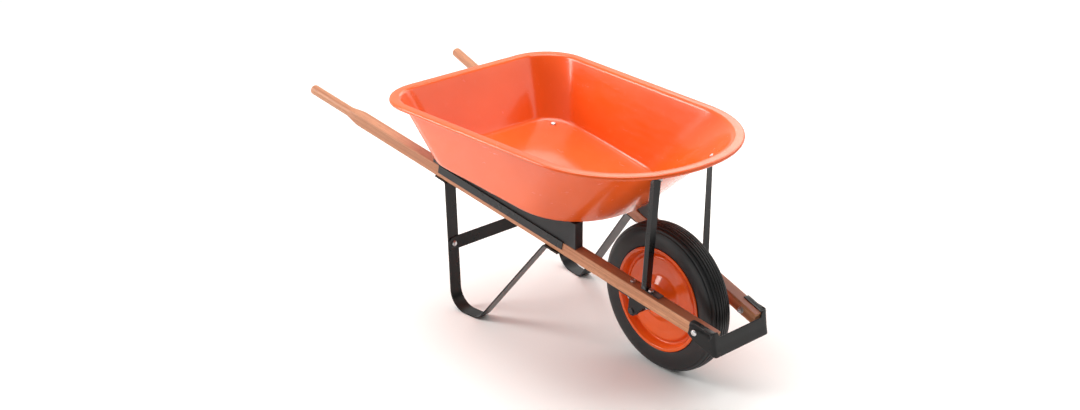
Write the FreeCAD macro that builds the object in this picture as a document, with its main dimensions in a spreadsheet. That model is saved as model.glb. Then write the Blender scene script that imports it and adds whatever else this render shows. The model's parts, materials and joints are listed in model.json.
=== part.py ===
import FreeCAD, Part
import Sketcher
import math
import os
from FreeCAD import Placement, Rotation, Vector

# Steel-tray wheelbarrow with two wooden handles, in millimetres.
# +X points forward to the wheel, +Y to the operator's left and +Z up. The origin is on the
# ground, under the centre of the whole barrow's box.
#
# Three frames are used. The ground frame is the part's own. The axle frame has the same axes,
# with X counted from the axle. A handle frame has its origin on the handle's axis above the
# axle, X along the handle to the front, Y level to the left, Z square to the handle's top face.

os.makedirs("parts", exist_ok=True)
doc = FreeCAD.newDocument("wheelbarrow")
sheet = doc.addObject("Spreadsheet::Sheet", "dims")

DIMENSIONS = [
    ("axle_x", 476.81, "axle, ahead of the middle of the barrow"),
    ("wheel_radius", 205.6, "tyre outer radius, a 16 in wheel"),
    # handles
    ("handle_width", 35, "square section of the handle"),
    ("handle_rear", 1259, "grip's end, behind the axle along the handle"),
    ("handle_front", 257, "handle's front end, ahead of the axle along the handle"),
    ("handle_edge", 3, "rounding of the handle's long edges"),
    ("handle_yaw", 7.33, "degrees that each handle turns out towards the rear"),
    ("handle_pitch", 11.78, "degrees that the handle falls towards the front"),
    ("handle_y", 114.4, "handle's axis from the middle, above the axle"),
    ("handle_z", 261.5, "handle's axis above the ground, above the axle"),
    ("grip_radius", 15, "round grip"),
    ("grip_length", 166, "round grip, from its end to the shoulder"),
    ("shoulder_length", 46, "swelling from the grip to the square"),
    # tray
    ("sheet_thickness", 1.2, "steel sheet of the tray"),
    ("rim_height", 613.5, "centre of the tray's rolled bead above the ground"),
    ("bead_radius", 6, "rolled bead"),
    ("lip_width", 24, "flat lip, from the bead's centre to the wall"),
    ("floor_height", 447.6, "tray's underside at floor_x"),
    ("floor_x", -711, "where floor_height is measured"),
    ("floor_slope", 0.105, "fall of the tray's floor towards the front"),
    ("floor_edge", 13, "setback of the rounded edge between floor and wall"),
    ("wall_level", 1.62, "tray wall's sheet, measured level"),
    ("wall_run", 220, "tray's wall, measured up its slope"),
    ("lip_tuck", 3.72, "from the bead's centre line to the lip's underside"),
    # risers and side rails
    ("riser_width", 31, "wooden riser between handle and tray"),
    ("riser_rear", 732, "riser's thin end, behind the axle along the handle"),
    ("riser_front", 199, "foot of the riser's plumb end, behind the axle along the handle"),
    ("rail_rear", 705, "side rail's rear end, behind the axle along the handle"),
    ("rail_front", 240, "side rail's front end, behind the axle along the handle"),
    ("rail_flange", 23, "side rail's outer flange"),
    ("rail_ledge", 26, "side rail's top flange"),
    ("rail_thickness", 2.5, "side rail's sheet"),
    # legs
    ("strap_width", 40, "leg strap"),
    ("strap_thickness", 4, "leg strap"),
    ("leg_rear_end", 704, "rear flange's end, behind the axle"),
    ("leg_rear_bend", 664, "rear flange's bend, behind the axle"),
    ("leg_heel", 634, "where the rear strap would meet the ground"),
    ("leg_toe", 530, "where the front strut would meet the ground"),
    ("leg_front_bend", 296, "front flange's bend, behind the axle"),
    ("leg_front_end", 247, "front flange's end, behind the axle"),
    ("foot_wear", 0.3, "worn off the foot's underside, level with the ground"),
    ("leg_splay", 16, "how far the foot stands out of the handle's line"),
    ("brace_height", 39, "cross brace between the legs"),
    ("brace_thickness", 3, "cross brace between the legs"),
    ("brace_level", 193, "middle of the cross brace above the ground"),
    # front struts
    ("strut_width", 21, "front flange of the strut's angle"),
    ("strut_depth", 15, "side flange of the strut's angle"),
    ("strut_thickness", 3, "front strut"),
    ("strut_foot", 34, "strut's bend on the handle, ahead of the axle"),
    ("strut_toe", 76, "end of the strut's foot plate, ahead of the axle"),
    ("strut_inward", 3.5, "strut's foot from the handle's axis, towards the middle"),
    ("strut_y", 94.5, "strut's upper bend from the middle"),
    ("strut_share", 0.822, "strut's upper bend, as a share of the way up the tray's wall"),
    ("strut_tab", 24, "strut's upper tab along the tray's wall"),
    ("strut_bolt", 13, "bolt from the strut's upper bend"),
    ("strut_head", 4.4, "from the wall's outside to the bolt head inside the tray"),
    ("strut_clear", 1.4, "between the tab and the tray's wall"),
    # axle brackets and axle
    ("bracket_rear", 44, "bracket's rear end, behind the axle along the handle"),
    ("bracket_front", 62, "bracket's front end, ahead of the axle along the handle"),
    ("bracket_sheet", 4, "bracket's sheet"),
    ("bracket_width", 30, "bracket's top flange"),
    ("bracket_boss", 13, "round lower end of the bracket's web"),
    ("axle_radius", 8, "5/8 in axle"),
    ("axle_fit", 0.05, "radial running clearance in the bushings"),
    ("axle_end", 3, "axle's end past the bracket's web"),
    ("axle_hole", 0.2, "radial clearance of spacers and washers on the axle"),
    ("spacer_radius", 13, "spacer between hub and bracket"),
    ("washer_radius", 15, "axle washer"),
    ("washer_thickness", 2, "axle washer"),
    ("pin_setback", 6, "cotter pin from the web's inner face"),
    ("pin_radius", 2, "cotter pin"),
    ("pin_length", 26, "cotter pin, below its eye"),
    ("eye_radius", 4, "middle line of the cotter pin's eye"),
    ("eye_wire", 1.6, "cotter pin's eye, its wire's radius"),
    # nose guard
    ("guard_sheet", 3, "nose guard's sheet"),
    ("guard_rear", 186, "ear's rear edge, ahead of the axle along the handle"),
    ("guard_front", 265, "front plate's foot, ahead of the axle"),
    # wheel
    ("tyre_half_width", 37.5, "half the tyre's width"),
    ("flange_radius", 144.5, "rim's flange"),
    ("rim_sheet", 2, "rim's pressed steel"),
    ("hub_radius", 19, "hub tube outside"),
    ("hub_bore", 14, "hub tube inside"),
    ("hub_half_length", 72, "half the hub tube's length"),
    ("bushing_length", 24, "hub bushing"),
    # fasteners
    ("bolt_radius", 4, "M8 bolts"),
    ("small_bolt_radius", 3, "M6 bolts, through the struts' tabs"),
    ("small_hole_radius", 3.3, "clearance holes for M6"),
    ("hole_radius", 4.3, "clearance holes for M8"),
    ("gap", 0.3, "space left between pieces that must not touch"),
]
for row, (alias, value, note) in enumerate(DIMENSIONS, start=1):
    sheet.set(f"A{row}", note)
    sheet.set(f"B{row}", str(value))
    sheet.setAlias(f"B{row}", alias)
doc.recompute()


def dim(alias):
    """The number in the sheet's cell of that alias."""
    return float(getattr(sheet, alias))


# ---------------------------------------------------------------- frames and small helpers

SIDES = {"left": 1, "right": -1}
AXLE_FRAME = Placement(Vector(dim("axle_x"), 0, 0), Rotation())
WHEEL_FRAME = Placement(Vector(dim("axle_x"), 0, dim("wheel_radius")), Rotation())
HALF_HANDLE = dim("handle_width") / 2
RAIL_TOP = HALF_HANDLE + dim("rail_thickness")


def handle_frame(side):
    """The frame of the left (+1) or right (-1) handle."""
    origin = Vector(dim("axle_x"), side * dim("handle_y"), dim("handle_z"))
    yaw = Rotation(Vector(0, 0, 1), -side * dim("handle_yaw"))
    pitch = Rotation(Vector(0, 1, 0), dim("handle_pitch"))
    return Placement(origin, yaw * pitch)


def level_frame(side):
    """The handle's line seen from above: turned with the handle, but level and on the ground."""
    origin = Vector(dim("axle_x"), side * dim("handle_y"), 0)
    return Placement(origin, Rotation(Vector(0, 0, 1), -side * dim("handle_yaw")))


def placed(shape, placement):
    """A copy of the shape, moved from a frame into the ground frame."""
    moved = shape.copy()
    moved.Placement = placement.multiply(moved.Placement)
    return moved


def solid_from(shape):
    """The one solid of a boolean's result."""
    solids = shape.removeSplitter().Solids
    if len(solids) != 1:
        raise RuntimeError(f"expected one solid, found {len(solids)}")
    return solids[0]


def feature(name, shape, placement=None):
    """A sub-part whose shape is made with Part's own functions."""
    item = doc.addObject("Part::Feature", name)
    item.Label = name
    item.Shape = shape
    if placement is not None:
        item.Placement = placement
    return item


def cylinder(radius, length, base=Vector(0, 0, 0), axis=Vector(0, 0, 1)):
    return Part.makeCylinder(radius, length, base, axis)


def tube(outer, inner, length, base=Vector(0, 0, 0), axis=Vector(0, 0, 1)):
    return cylinder(outer, length, base, axis).cut(cylinder(inner, length, base, axis))


def prism(points, start, depth, plane="XZ"):
    """A closed polygon in the XZ or XY plane, extruded along Y or Z from start."""
    if plane == "XZ":
        corners = [Vector(x, start, z) for x, z in points]
        sweep = Vector(0, depth, 0)
    else:
        corners = [Vector(x, y, start) for x, y in points]
        sweep = Vector(0, 0, depth)
    return Part.Face(Part.makePolygon(corners + corners[:1])).extrude(sweep)


def bent_path(points, radii):
    """A wire through the points, whose inner corners are rounded to the given radii."""
    edges = []
    start = points[0]
    for before, corner, after, radius in zip(points, points[1:], points[2:], radii):
        back = (before - corner).normalize()
        ahead = (after - corner).normalize()
        half = back.getAngle(ahead) / 2
        setback = radius / math.tan(half)
        entry = corner + back * setback
        leave = corner + ahead * setback
        bisector = (back + ahead).normalize()
        middle = corner + bisector * (radius / math.sin(half) - radius)
        edges.append(Part.LineSegment(start, entry).toShape())
        edges.append(Part.Arc(entry, middle, leave).toShape())
        start = leave
    edges.append(Part.LineSegment(start, points[-1]).toShape())
    return Part.Wire(edges)


def bent_strap(points, radii, width, thickness, across):
    """A flat strap bent along a path. The direction across is its width's."""
    path = bent_path(points, radii)
    along = (points[1] - points[0]).normalize()
    normal = along.cross(across).normalize()
    corners = [
        points[0] + across * (width / 2 * u) + normal * (thickness / 2 * v)
        for u, v in ((-1, -1), (1, -1), (1, 1), (-1, 1), (-1, -1))
    ]
    return Part.Solid(path.makePipeShell([Part.makePolygon(corners)], True, False))


# ---------------------------------------------------------------- PartDesign helpers

def new_body(name, placement):
    body = doc.addObject("PartDesign::Body", name)
    body.Label = name
    body.Placement = placement
    return body


def new_sketch(body, role, name):
    plane = [item for item in body.Origin.OriginFeatures if item.Role == role][0]
    sketch = body.newObject("Sketcher::SketchObject", name)
    sketch.AttachmentSupport = [(plane, "")]
    sketch.MapMode = "FlatFace"
    return sketch


def outline(sketch, corners):
    """A closed polygon whose corners are pairs of expressions over the sheet's cells."""
    places = [[float(sheet.evalExpression(text)) for text in pair] for pair in corners]
    count = len(places)
    for index, (x, y) in enumerate(places):
        end = places[(index + 1) % count]
        sketch.addGeometry(Part.LineSegment(Vector(x, y, 0), Vector(end[0], end[1], 0)))
    for index in range(count):
        sketch.addConstraint(Sketcher.Constraint("Coincident", index, 2, (index + 1) % count, 1))
    for index, (pair, place) in enumerate(zip(corners, places)):
        for kind, text, amount in zip(("DistanceX", "DistanceY"), pair, place):
            number = sketch.addConstraint(Sketcher.Constraint(kind, -1, 1, index, 1, amount))
            sketch.setExpression(f"Constraints[{number}]", text)


def revolved(name, placement, corners):
    """A body turned about the wheel's axis: corners are radius and distance along the axle."""
    body = new_body(name, placement)
    sketch = new_sketch(body, "XY_Plane", name + "_section")
    outline(sketch, corners)
    turn = body.newObject("PartDesign::Revolution", name + "_turn")
    turn.Profile = sketch
    turn.ReferenceAxis = (sketch, ["V_Axis"])
    turn.Angle = 360
    return body


def drilled(name, body, cutters):
    """The body with holes cut, as one sub-part that takes over the name."""
    body.Label = name + "_blank"
    tools = doc.addObject("Part::Feature", name + "_drills")
    tools.Shape = Part.makeCompound(cutters)
    cut = doc.addObject("Part::Cut", name)
    cut.Base = body
    cut.Tool = tools
    cut.Label = name
    return cut


# ---------------------------------------------------------------- where the bolts are

TRAY_BOLTS = (-700, -276)  # along the handle: the leg's rear and front flanges
BRACKET_BOLTS = (-14, 44)  # along the handle: the bracket's rear bolt and the strut's
GUARD_BOLT = 205  # along the handle
GUARD_BOLT_DROP = -3  # below the handle's axis


def handle_drill(side, station, low=-60, high=90):
    """A clearance hole square to the handle's top face."""
    drill = cylinder(dim("hole_radius"), high - low, Vector(station, 0, low))
    return placed(drill, handle_frame(side))


def guard_drill(side):
    """A level clearance hole through a guard ear and the handle."""
    drill = cylinder(dim("hole_radius"), 100, Vector(GUARD_BOLT, -50, GUARD_BOLT_DROP), Vector(0, 1, 0))
    return placed(drill, handle_frame(side))


# ---------------------------------------------------------------- tray

def tray_outline(rear, half_width, corner, middle, middle_half, nose, power):
    """Half the tray's outline seen from above, rear corner to nose, as four runs of points.

    The sides taper. The front is a superellipse, and the rear corners are round.
    """
    def taper(x):
        return middle_half + (x - middle) * (middle_half - half_width) / (middle - rear)

    start = rear + corner
    corner_run = []
    for step in range(9):
        angle = math.pi - step / 8 * math.pi / 2
        x = start + corner * math.cos(angle)
        corner_run.append((x, taper(x) - corner + corner * math.sin(angle)))
    front_run = []
    for step in range(11):
        angle = math.pi / 2 * (1 - step / 10)
        x = middle + (nose - middle) * abs(math.cos(angle)) ** (2 / power)
        front_run.append((x, taper(x) * abs(math.sin(angle)) ** (2 / power)))
    return corner_run, front_run


def shrunk(values, inset):
    """The outline's measures, moved inwards by an even inset."""
    rear, half_width, corner, middle, middle_half, nose, power = values
    return (rear + inset, half_width - inset, corner - inset, middle, middle_half - inset,
            nose - inset, power)


RIM_OUTLINE = (-830.7, 333.9, 135, -162, 308.7, 121.7, 2.15)
FLOOR_OUTLINE = (-720, 253, 100, -334, 226, -151.4, 2.22)


def floor_level(x):
    """Height of the tray's underside at a place counted from the axle."""
    return dim("floor_height") - dim("floor_slope") * (x - dim("floor_x"))


def level_points(values, height):
    """The outline's points as vectors, on a level plane or on a function of x."""
    runs = []
    for run in tray_outline(*values):
        runs.append([Vector(x, y, height(x) if callable(height) else height) for x, y in run])
    return runs


def blend(first, second, share):
    """Points part of the way from one outline's to another's."""
    return [[a + (b - a) * share for a, b in zip(p, q)] for p, q in zip(first, second)]


def curve_through(points):
    curve = Part.BSplineCurve()
    curve.interpolate(points)
    return curve.toShape()


def ring(runs):
    """A closed wire, mirrored across the middle, from the left half's two runs of points."""
    corner_run, front_run = runs
    mirror = [Vector(p.x, -p.y, p.z) for p in reversed(corner_run)]
    nose = front_run + [Vector(p.x, -p.y, p.z) for p in reversed(front_run[:-1])]
    side = Part.LineSegment(corner_run[-1], front_run[0]).toShape()
    other_side = Part.LineSegment(nose[-1], mirror[0]).toShape()
    rear = Part.LineSegment(mirror[-1], corner_run[0]).toShape()
    return Part.Wire([curve_through(corner_run), side, curve_through(nose), other_side,
                      curve_through(mirror), rear])


def basin_rings(inset, raised, top):
    """Rings of the tray's wall, from the flat floor's edge up to the lip, as runs of points."""
    floor = level_points(shrunk(FLOOR_OUTLINE, inset), lambda x: floor_level(x) + raised)
    rim = level_points(shrunk(RIM_OUTLINE, dim("lip_width") + inset), top)
    middle = Vector(-400, 0, 0)
    inner = []
    for run in floor:
        moved = []
        for point in run:
            inward = Vector(middle.x - point.x, -point.y, 0).normalize() * dim("floor_edge")
            place = point + inward
            moved.append(Vector(place.x, place.y, floor_level(place.x) + raised))
        inner.append(moved)
    wall = blend(floor, rim, dim("floor_edge") / dim("wall_run"))
    soft = blend(blend(inner, wall, 0.5), floor, 0.5)
    return [inner, soft, wall, rim]


def bead_rings():
    """Rings round the rolled edge, from the lip's underside outwards and back over its top."""
    radius = dim("bead_radius")
    rings = []
    for step in range(1, 9):
        angle = math.radians(90 + 40 * step)
        values = shrunk(RIM_OUTLINE, -radius * math.cos(angle))
        rings.append(level_points(values, dim("rim_height") + radius * math.sin(angle)))
    return rings


def make_tray():
    """A pressed tray with a flat lip and a rolled bead: a skin of strips between rings."""
    sheet_t = dim("sheet_thickness")
    top = dim("rim_height") + dim("bead_radius")
    under_lip = level_points(shrunk(RIM_OUTLINE, dim("lip_tuck")), top - sheet_t)
    outside = basin_rings(0, 0, top - sheet_t)
    inside = basin_rings(dim("wall_level"), sheet_t, top)
    wires = [ring(runs) for runs in outside + [under_lip] + bead_rings() + inside[::-1]]
    faces = [Part.Face(wires[0]), Part.Face(wires[-1])]
    for lower, upper in zip(wires, wires[1:]):
        faces += [Part.makeRuledSurface(a, b) for a, b in zip(lower.Edges, upper.Edges)]
    skin = Part.makeShell(faces)
    skin.sewShape(0.001)
    tray = Part.Solid(skin.Shells[0])
    if tray.Volume < 0:
        tray.reverse()
    tray = placed(tray, AXLE_FRAME)
    for side in SIDES.values():
        for station in TRAY_BOLTS:
            tray = tray.cut(handle_drill(side, station, 0, 140))
    return solid_from(tray)


# ---------------------------------------------------------------- handles, risers and rails

def make_handle(name, side):
    """A square wooden bar with softened edges and a turned grip at its rear end."""
    body = new_body(name, handle_frame(side))
    profile = new_sketch(body, "YZ_Plane", name + "_section")
    half, edge = "dims.handle_width / 2", "dims.handle_edge"
    inner = f"{half} - {edge}"
    corners = []
    for v, w in ((1, 1), (-1, 1), (-1, -1), (1, -1)):
        wide = (f"{v} * ({half})", f"{w} * ({inner})")
        tall = (f"{v} * ({inner})", f"{w} * ({half})")
        corners += [wide, tall] if v * w > 0 else [tall, wide]
    outline(profile, corners)
    front = body.newObject("PartDesign::Pad", name + "_bar")
    front.Profile = profile
    front.SideType = "Two sides"
    front.setExpression("Length", "dims.handle_front")
    front.setExpression("Length2", "dims.handle_rear - dims.grip_length - dims.shoulder_length / 2")
    grip = new_sketch(body, "XZ_Plane", name + "_grip_section")
    end = "-dims.handle_rear"
    neck = "-dims.handle_rear + dims.grip_length"
    full = "-dims.handle_rear + dims.grip_length + dims.shoulder_length"
    outline(grip, [
        (end, "0"),
        (end, "dims.grip_radius * 0.6"),
        (f"{end} + dims.grip_radius * 0.2", "dims.grip_radius * 0.9"),
        (f"{end} + dims.grip_radius * 0.5", "dims.grip_radius"),
        (neck, "dims.grip_radius"),
        (f"{neck} + dims.shoulder_length / 2", "dims.handle_width / 2 - 0.2"),
        (full, "dims.handle_width / 2 - 0.2"),
        (full, "0"),
    ])
    turn = body.newObject("PartDesign::Revolution", name + "_grip")
    turn.Profile = grip
    turn.ReferenceAxis = (grip, ["H_Axis"])
    turn.Angle = 360
    drills = [handle_drill(side, station) for station in TRAY_BOLTS + BRACKET_BOLTS]
    return drilled(name, body, drills + [guard_drill(side)])


def riser_top(station):
    """Height of the tray's underside above the handle's axis, square to the handle."""
    frame = handle_frame(1)
    low = frame.multVec(Vector(station, 0, 0))
    up = frame.Rotation.multVec(Vector(0, 0, 1))
    slope = dim("floor_slope")
    gap = floor_level(low.x - dim("axle_x")) - low.z
    return gap / (up.z + slope * up.x) - dim("gap")


def make_riser(name, side):
    """A tapered block that fills the wedge between the handle and the tray's floor."""
    rear, front = -dim("riser_rear"), -dim("riser_front")
    rail_rear, rail_front = -dim("rail_rear") - 1, -dim("rail_front") + 1
    lean = math.tan(math.radians(dim("handle_pitch")))
    top_front = front - (riser_top(front) - HALF_HANDLE) * lean
    outline_points = [
        (rear, HALF_HANDLE), (rail_rear, HALF_HANDLE), (rail_rear, RAIL_TOP),
        (rail_front, RAIL_TOP), (rail_front, HALF_HANDLE), (front, HALF_HANDLE),
        (top_front, riser_top(top_front)), (rear, riser_top(rear)),
    ]
    width = dim("riser_width")
    block = prism(outline_points, -width / 2, width)
    for station in TRAY_BOLTS:
        block = block.cut(cylinder(dim("hole_radius"), 120, Vector(station, 0, 0)))
    return feature(name, solid_from(block), handle_frame(side))


def make_rail(name, side):
    """An angle that caps the handle's outer top edge, under the riser."""
    body = new_body(name, handle_frame(side))
    profile = new_sketch(body, "YZ_Plane", name + "_section")
    out, low = "dims.handle_width / 2", "dims.handle_width / 2"
    sheet_t = "dims.rail_thickness"
    corners = [
        (f"{side} * ({out} + {sheet_t})", f"{low} + {sheet_t}"),
        (f"{side} * ({out} + {sheet_t})", f"{low} + {sheet_t} - dims.rail_flange"),
        (f"{side} * ({out})", f"{low} + {sheet_t} - dims.rail_flange"),
        (f"{side} * ({out})", low),
        (f"{side} * ({out} + {sheet_t} - dims.rail_ledge)", low),
        (f"{side} * ({out} + {sheet_t} - dims.rail_ledge)", f"{low} + {sheet_t}"),
    ]
    outline(profile, corners)
    pad = body.newObject("PartDesign::Pad", name + "_angle")
    pad.Profile = profile
    pad.SideType = "Two sides"
    pad.setExpression("Length", "-dims.rail_front")
    pad.setExpression("Length2", "dims.rail_rear")
    return drilled(name, body, [handle_drill(side, station) for station in TRAY_BOLTS])


# ---------------------------------------------------------------- legs and brace

def under_handle(x):
    """Height of the handle's underside in the level frame, at x along the level line."""
    pitch = math.radians(dim("handle_pitch"))
    return dim("handle_z") - x * math.tan(pitch) - HALF_HANDLE / math.cos(pitch)


def leg_points():
    """Middle line of the leg strap in the level frame: flange, strap, foot, strut, flange."""
    half = dim("strap_thickness") / 2
    drop = half / math.cos(math.radians(dim("handle_pitch")))
    foot = half - dim("foot_wear")

    def on_handle(x):
        return Vector(x, 0, under_handle(x) - drop)

    return [
        on_handle(-dim("leg_rear_end")), on_handle(-dim("leg_rear_bend")),
        Vector(-dim("leg_heel"), 0, foot), Vector(-dim("leg_toe"), 0, foot),
        on_handle(-dim("leg_front_bend")), on_handle(-dim("leg_front_end")),
    ]


def splayed(shape, side):
    """The leg leaned outwards below the handle, its flanges still level."""
    height = under_handle(-dim("leg_heel"))
    lean = side * dim("leg_splay") / height
    shear = FreeCAD.Matrix()
    shear.A23 = -lean
    shear.A24 = lean * height
    return shape.transformGeometry(shear)


def make_leg(name, side):
    """One strap bent into a V: a flange under the handle at each end and a round foot."""
    strap = bent_strap(leg_points(), (8, 60, 34, 8), dim("strap_width"),
                       dim("strap_thickness"), Vector(0, 1, 0))
    leg = placed(splayed(strap, side), level_frame(side))
    for station in TRAY_BOLTS:
        leg = leg.cut(handle_drill(side, station, -60, 0))
    leg = leg.cut(brace_drill(side))
    ground = Part.makeBox(2000, 1200, 10, Vector(-1000, -600, -10))
    return feature(name, solid_from(leg.cut(ground)))


def strap_place(height):
    """The rear strap's middle line at a height: place in the level frame."""
    top, heel = leg_points()[1:3]
    share = (height - heel.z) / (top.z - heel.z)
    place = heel + (top - heel) * share
    full = under_handle(-dim("leg_heel"))
    return Vector(place.x, dim("leg_splay") * (full - height) / full, height)


def brace_frame(side):
    """At the middle of the rear strap's front face, X square to the strap, Y across it."""
    place = strap_place(dim("brace_level"))
    top, heel = leg_points()[1:3]
    lean = math.degrees(math.atan2(heel.x - top.x, top.z - heel.z))
    local = Placement(Vector(place.x, side * place.y, place.z), Rotation(Vector(0, 1, 0), -lean))
    return level_frame(side).multiply(local)


def brace_drill(side):
    drill = cylinder(dim("hole_radius"), 40, Vector(-20, 0, 0), Vector(1, 0, 0))
    return placed(drill, brace_frame(side))


def make_brace(name):
    """A flat bar across both rear straps, its ends turned to lie flat on them."""
    half, sheet_t = dim("brace_height") / 2, dim("brace_thickness")
    face = dim("strap_thickness") / 2 + 0.05
    tabs = []
    inner_ends = []
    for side in SIDES.values():
        frame = brace_frame(side)
        reach = dim("strap_width") / 2 - 1
        cut = 9
        tab = [
            (side * reach, -half + cut), (side * (reach - cut), -half),
            (-side * reach, -half), (-side * reach, half),
            (side * (reach - cut), half), (side * reach, half - cut),
        ]
        corners = [Vector(face, y, z) for y, z in tab]
        plate = Part.Face(Part.makePolygon(corners + corners[:1])).extrude(Vector(sheet_t, 0, 0))
        tabs.append(placed(plate, frame))
        inner_ends.append([frame.multVec(Vector(face + d, -side * reach, h))
                           for d, h in ((0, -half), (sheet_t, -half), (sheet_t, half), (0, half))])
    wires = [Part.makePolygon(points + points[:1]) for points in inner_ends]
    bar = Part.makeLoft(wires, True, True)
    brace = tabs[0].fuse([tabs[1], bar])
    for side in SIDES.values():
        brace = brace.cut(brace_drill(side))
    return feature(name, solid_from(brace))


# ---------------------------------------------------------------- front struts

def wall_point(y, share):
    """On the tray's front wall, at a distance from the middle and a share of the way up."""
    floor, rim = basin_rings(0, 0, dim("rim_height") + dim("bead_radius"))[2:]
    front = blend(floor, rim, share)[1]
    for before, after in zip(front, front[1:]):
        if before.y >= y >= after.y:
            part = (before.y - y) / (before.y - after.y)
            return AXLE_FRAME.multVec(before + (after - before) * part)
    raise RuntimeError("the strut misses the tray's front wall")


def wall_frame(side):
    """On the tray's front wall at a strut's upper bend: Z out of the wall and Y up along it."""
    y, share = dim("strut_y"), dim("strut_share")
    place = wall_point(y, share)
    inwards = wall_point(y - 10, share) - wall_point(y + 10, share)
    up = wall_point(y, share + 0.05) - place
    out = up.cross(inwards)
    for vector in (place, up, out):
        vector.y *= side
    return Placement(place, Rotation(up.cross(out), up, out, "ZYX"))


def strut_bend():
    """The left strut's frames at its foot and its upper bend, with the bend's lean.

    In both frames the strut spreads along one axis. The lean is the front face's normal,
    seen in the upper frame.
    """
    lower = handle_frame(1).multiply(Placement(
        Vector(dim("strut_foot"), -dim("strut_inward"), HALF_HANDLE), Rotation()))
    upper = wall_frame(1)
    rise = upper.inverse().multVec(lower.Base).negative()
    return lower, upper, Vector(0, -rise.z, rise.y).normalize()


def lofted(lower, upper):
    """A straight-sided solid between two quads."""
    wires = [Part.makePolygon(corners + corners[:1]) for corners in (lower, upper)]
    return Part.makeLoft(wires, True, True)


def strut_flange(start, end, depth):
    """Part of the strut's angle: from start to end across it, and depth deep behind its face."""
    lower, upper, lean = strut_bend()
    thick = dim("strut_thickness")
    face = dim("strut_clear") + thick
    if depth == thick:
        back = Vector(0, -thick * lean.y / (1 + lean.z), face - thick)
    else:
        back = Vector(0, 0, face) - lean * depth
    low = [(start, 0, thick), (end, 0, thick), (end, -depth, 0), (start, -depth, 0)]
    low = [lower.multVec(Vector(y, x, z)) for x, y, z in low]
    high = [(start, 0, face), (end, 0, face), (end, back.y, back.z), (start, back.y, back.z)]
    return lofted(low, [upper.multVec(Vector(*corner)) for corner in high])


def left_strut():
    """An angle that stands on the left handle and leans in to a tab on the tray's wall."""
    lower, upper, lean = strut_bend()
    thick, half = dim("strut_thickness"), dim("strut_width") / 2
    clear = dim("strut_clear")
    wall = Part.makeBox(120, 200, 80, Vector(-60, -100, clear - 80))
    side = strut_flange(half - thick, half, dim("strut_depth")).cut(placed(wall, upper))
    reach = dim("strut_toe") - dim("strut_foot")
    foot = Part.makeBox(reach + thick, 2 * half, thick, Vector(-thick, -half, 0))
    heel = -thick * lean.y / (1 + lean.z)
    tab = prism([(heel, clear), (dim("strut_tab"), clear), (dim("strut_tab"), clear + thick),
                 (0, clear + thick)], -half, 2 * half, "XY")
    turn = Placement(Vector(), Rotation(Vector(0, 1, 0), Vector(0, 0, 1), Vector(1, 0, 0), "ZXY"))
    pieces = [strut_flange(-half, half, thick), side, placed(foot, lower),
              placed(placed(tab, turn), upper)]
    strut = pieces[0].fuse(pieces[1:])
    strut = strut.cut(handle_drill(1, BRACKET_BOLTS[1], 0, 60))
    drill = cylinder(dim("small_hole_radius"), 40, Vector(0, 0, -20))
    return solid_from(strut.cut(placed(drill, strut_frame(1))).removeSplitter())


def strut_frame(side):
    """At the strut's upper bolt, on the wall's outside, with Z into the tray."""
    turn = Rotation(Vector(0, 1, 0), 180)
    return wall_frame(side).multiply(Placement(Vector(0, dim("strut_bolt"), 0), turn))


def make_strut(name, side):
    strut = left_strut()
    if side < 0:
        strut = strut.mirror(Vector(0, 0, 0), Vector(0, 1, 0))
    return feature(name, strut)


# ---------------------------------------------------------------- axle brackets and axle

def axle_below():
    """The axle's place in a handle frame seen from the side: station and drop."""
    frame = handle_frame(1).inverse()
    place = frame.multVec(Vector(dim("axle_x"), dim("handle_y"), dim("wheel_radius")))
    return place.x, place.z


def make_bracket(name, side):
    """A flange under the handle, and at its outer edge a triangular web that carries the axle."""
    thick = dim("bracket_sheet")
    rear, front = -dim("bracket_rear"), dim("bracket_front")
    top = -HALF_HANDLE
    flange = prism([(rear, top - thick), (front, top - thick), (front, top), (rear, top)],
                   -dim("bracket_width") / 2, dim("bracket_width"))
    station, drop = axle_below()
    boss = dim("bracket_boss")
    edge = dim("bracket_width") / 2
    web_start = edge - thick if side > 0 else -edge
    web = prism([(station - 1.3 * boss, top - thick / 2), (station - boss, drop),
                 (station + boss, drop), (front - boss, top - thick / 2)], web_start, thick)
    rounding = cylinder(boss, thick, Vector(station, web_start, drop), Vector(0, 1, 0))
    bracket = placed(flange.fuse([web, rounding]), handle_frame(side))
    for along in BRACKET_BOLTS:
        bracket = bracket.cut(handle_drill(side, along, -60, 0))
    bore = cylinder(dim("axle_radius") + 0.1, 400, Vector(0, -200, 0), Vector(0, 1, 0))
    bracket = bracket.cut(placed(bore, WHEEL_FRAME))
    return feature(name, solid_from(bracket))


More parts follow.
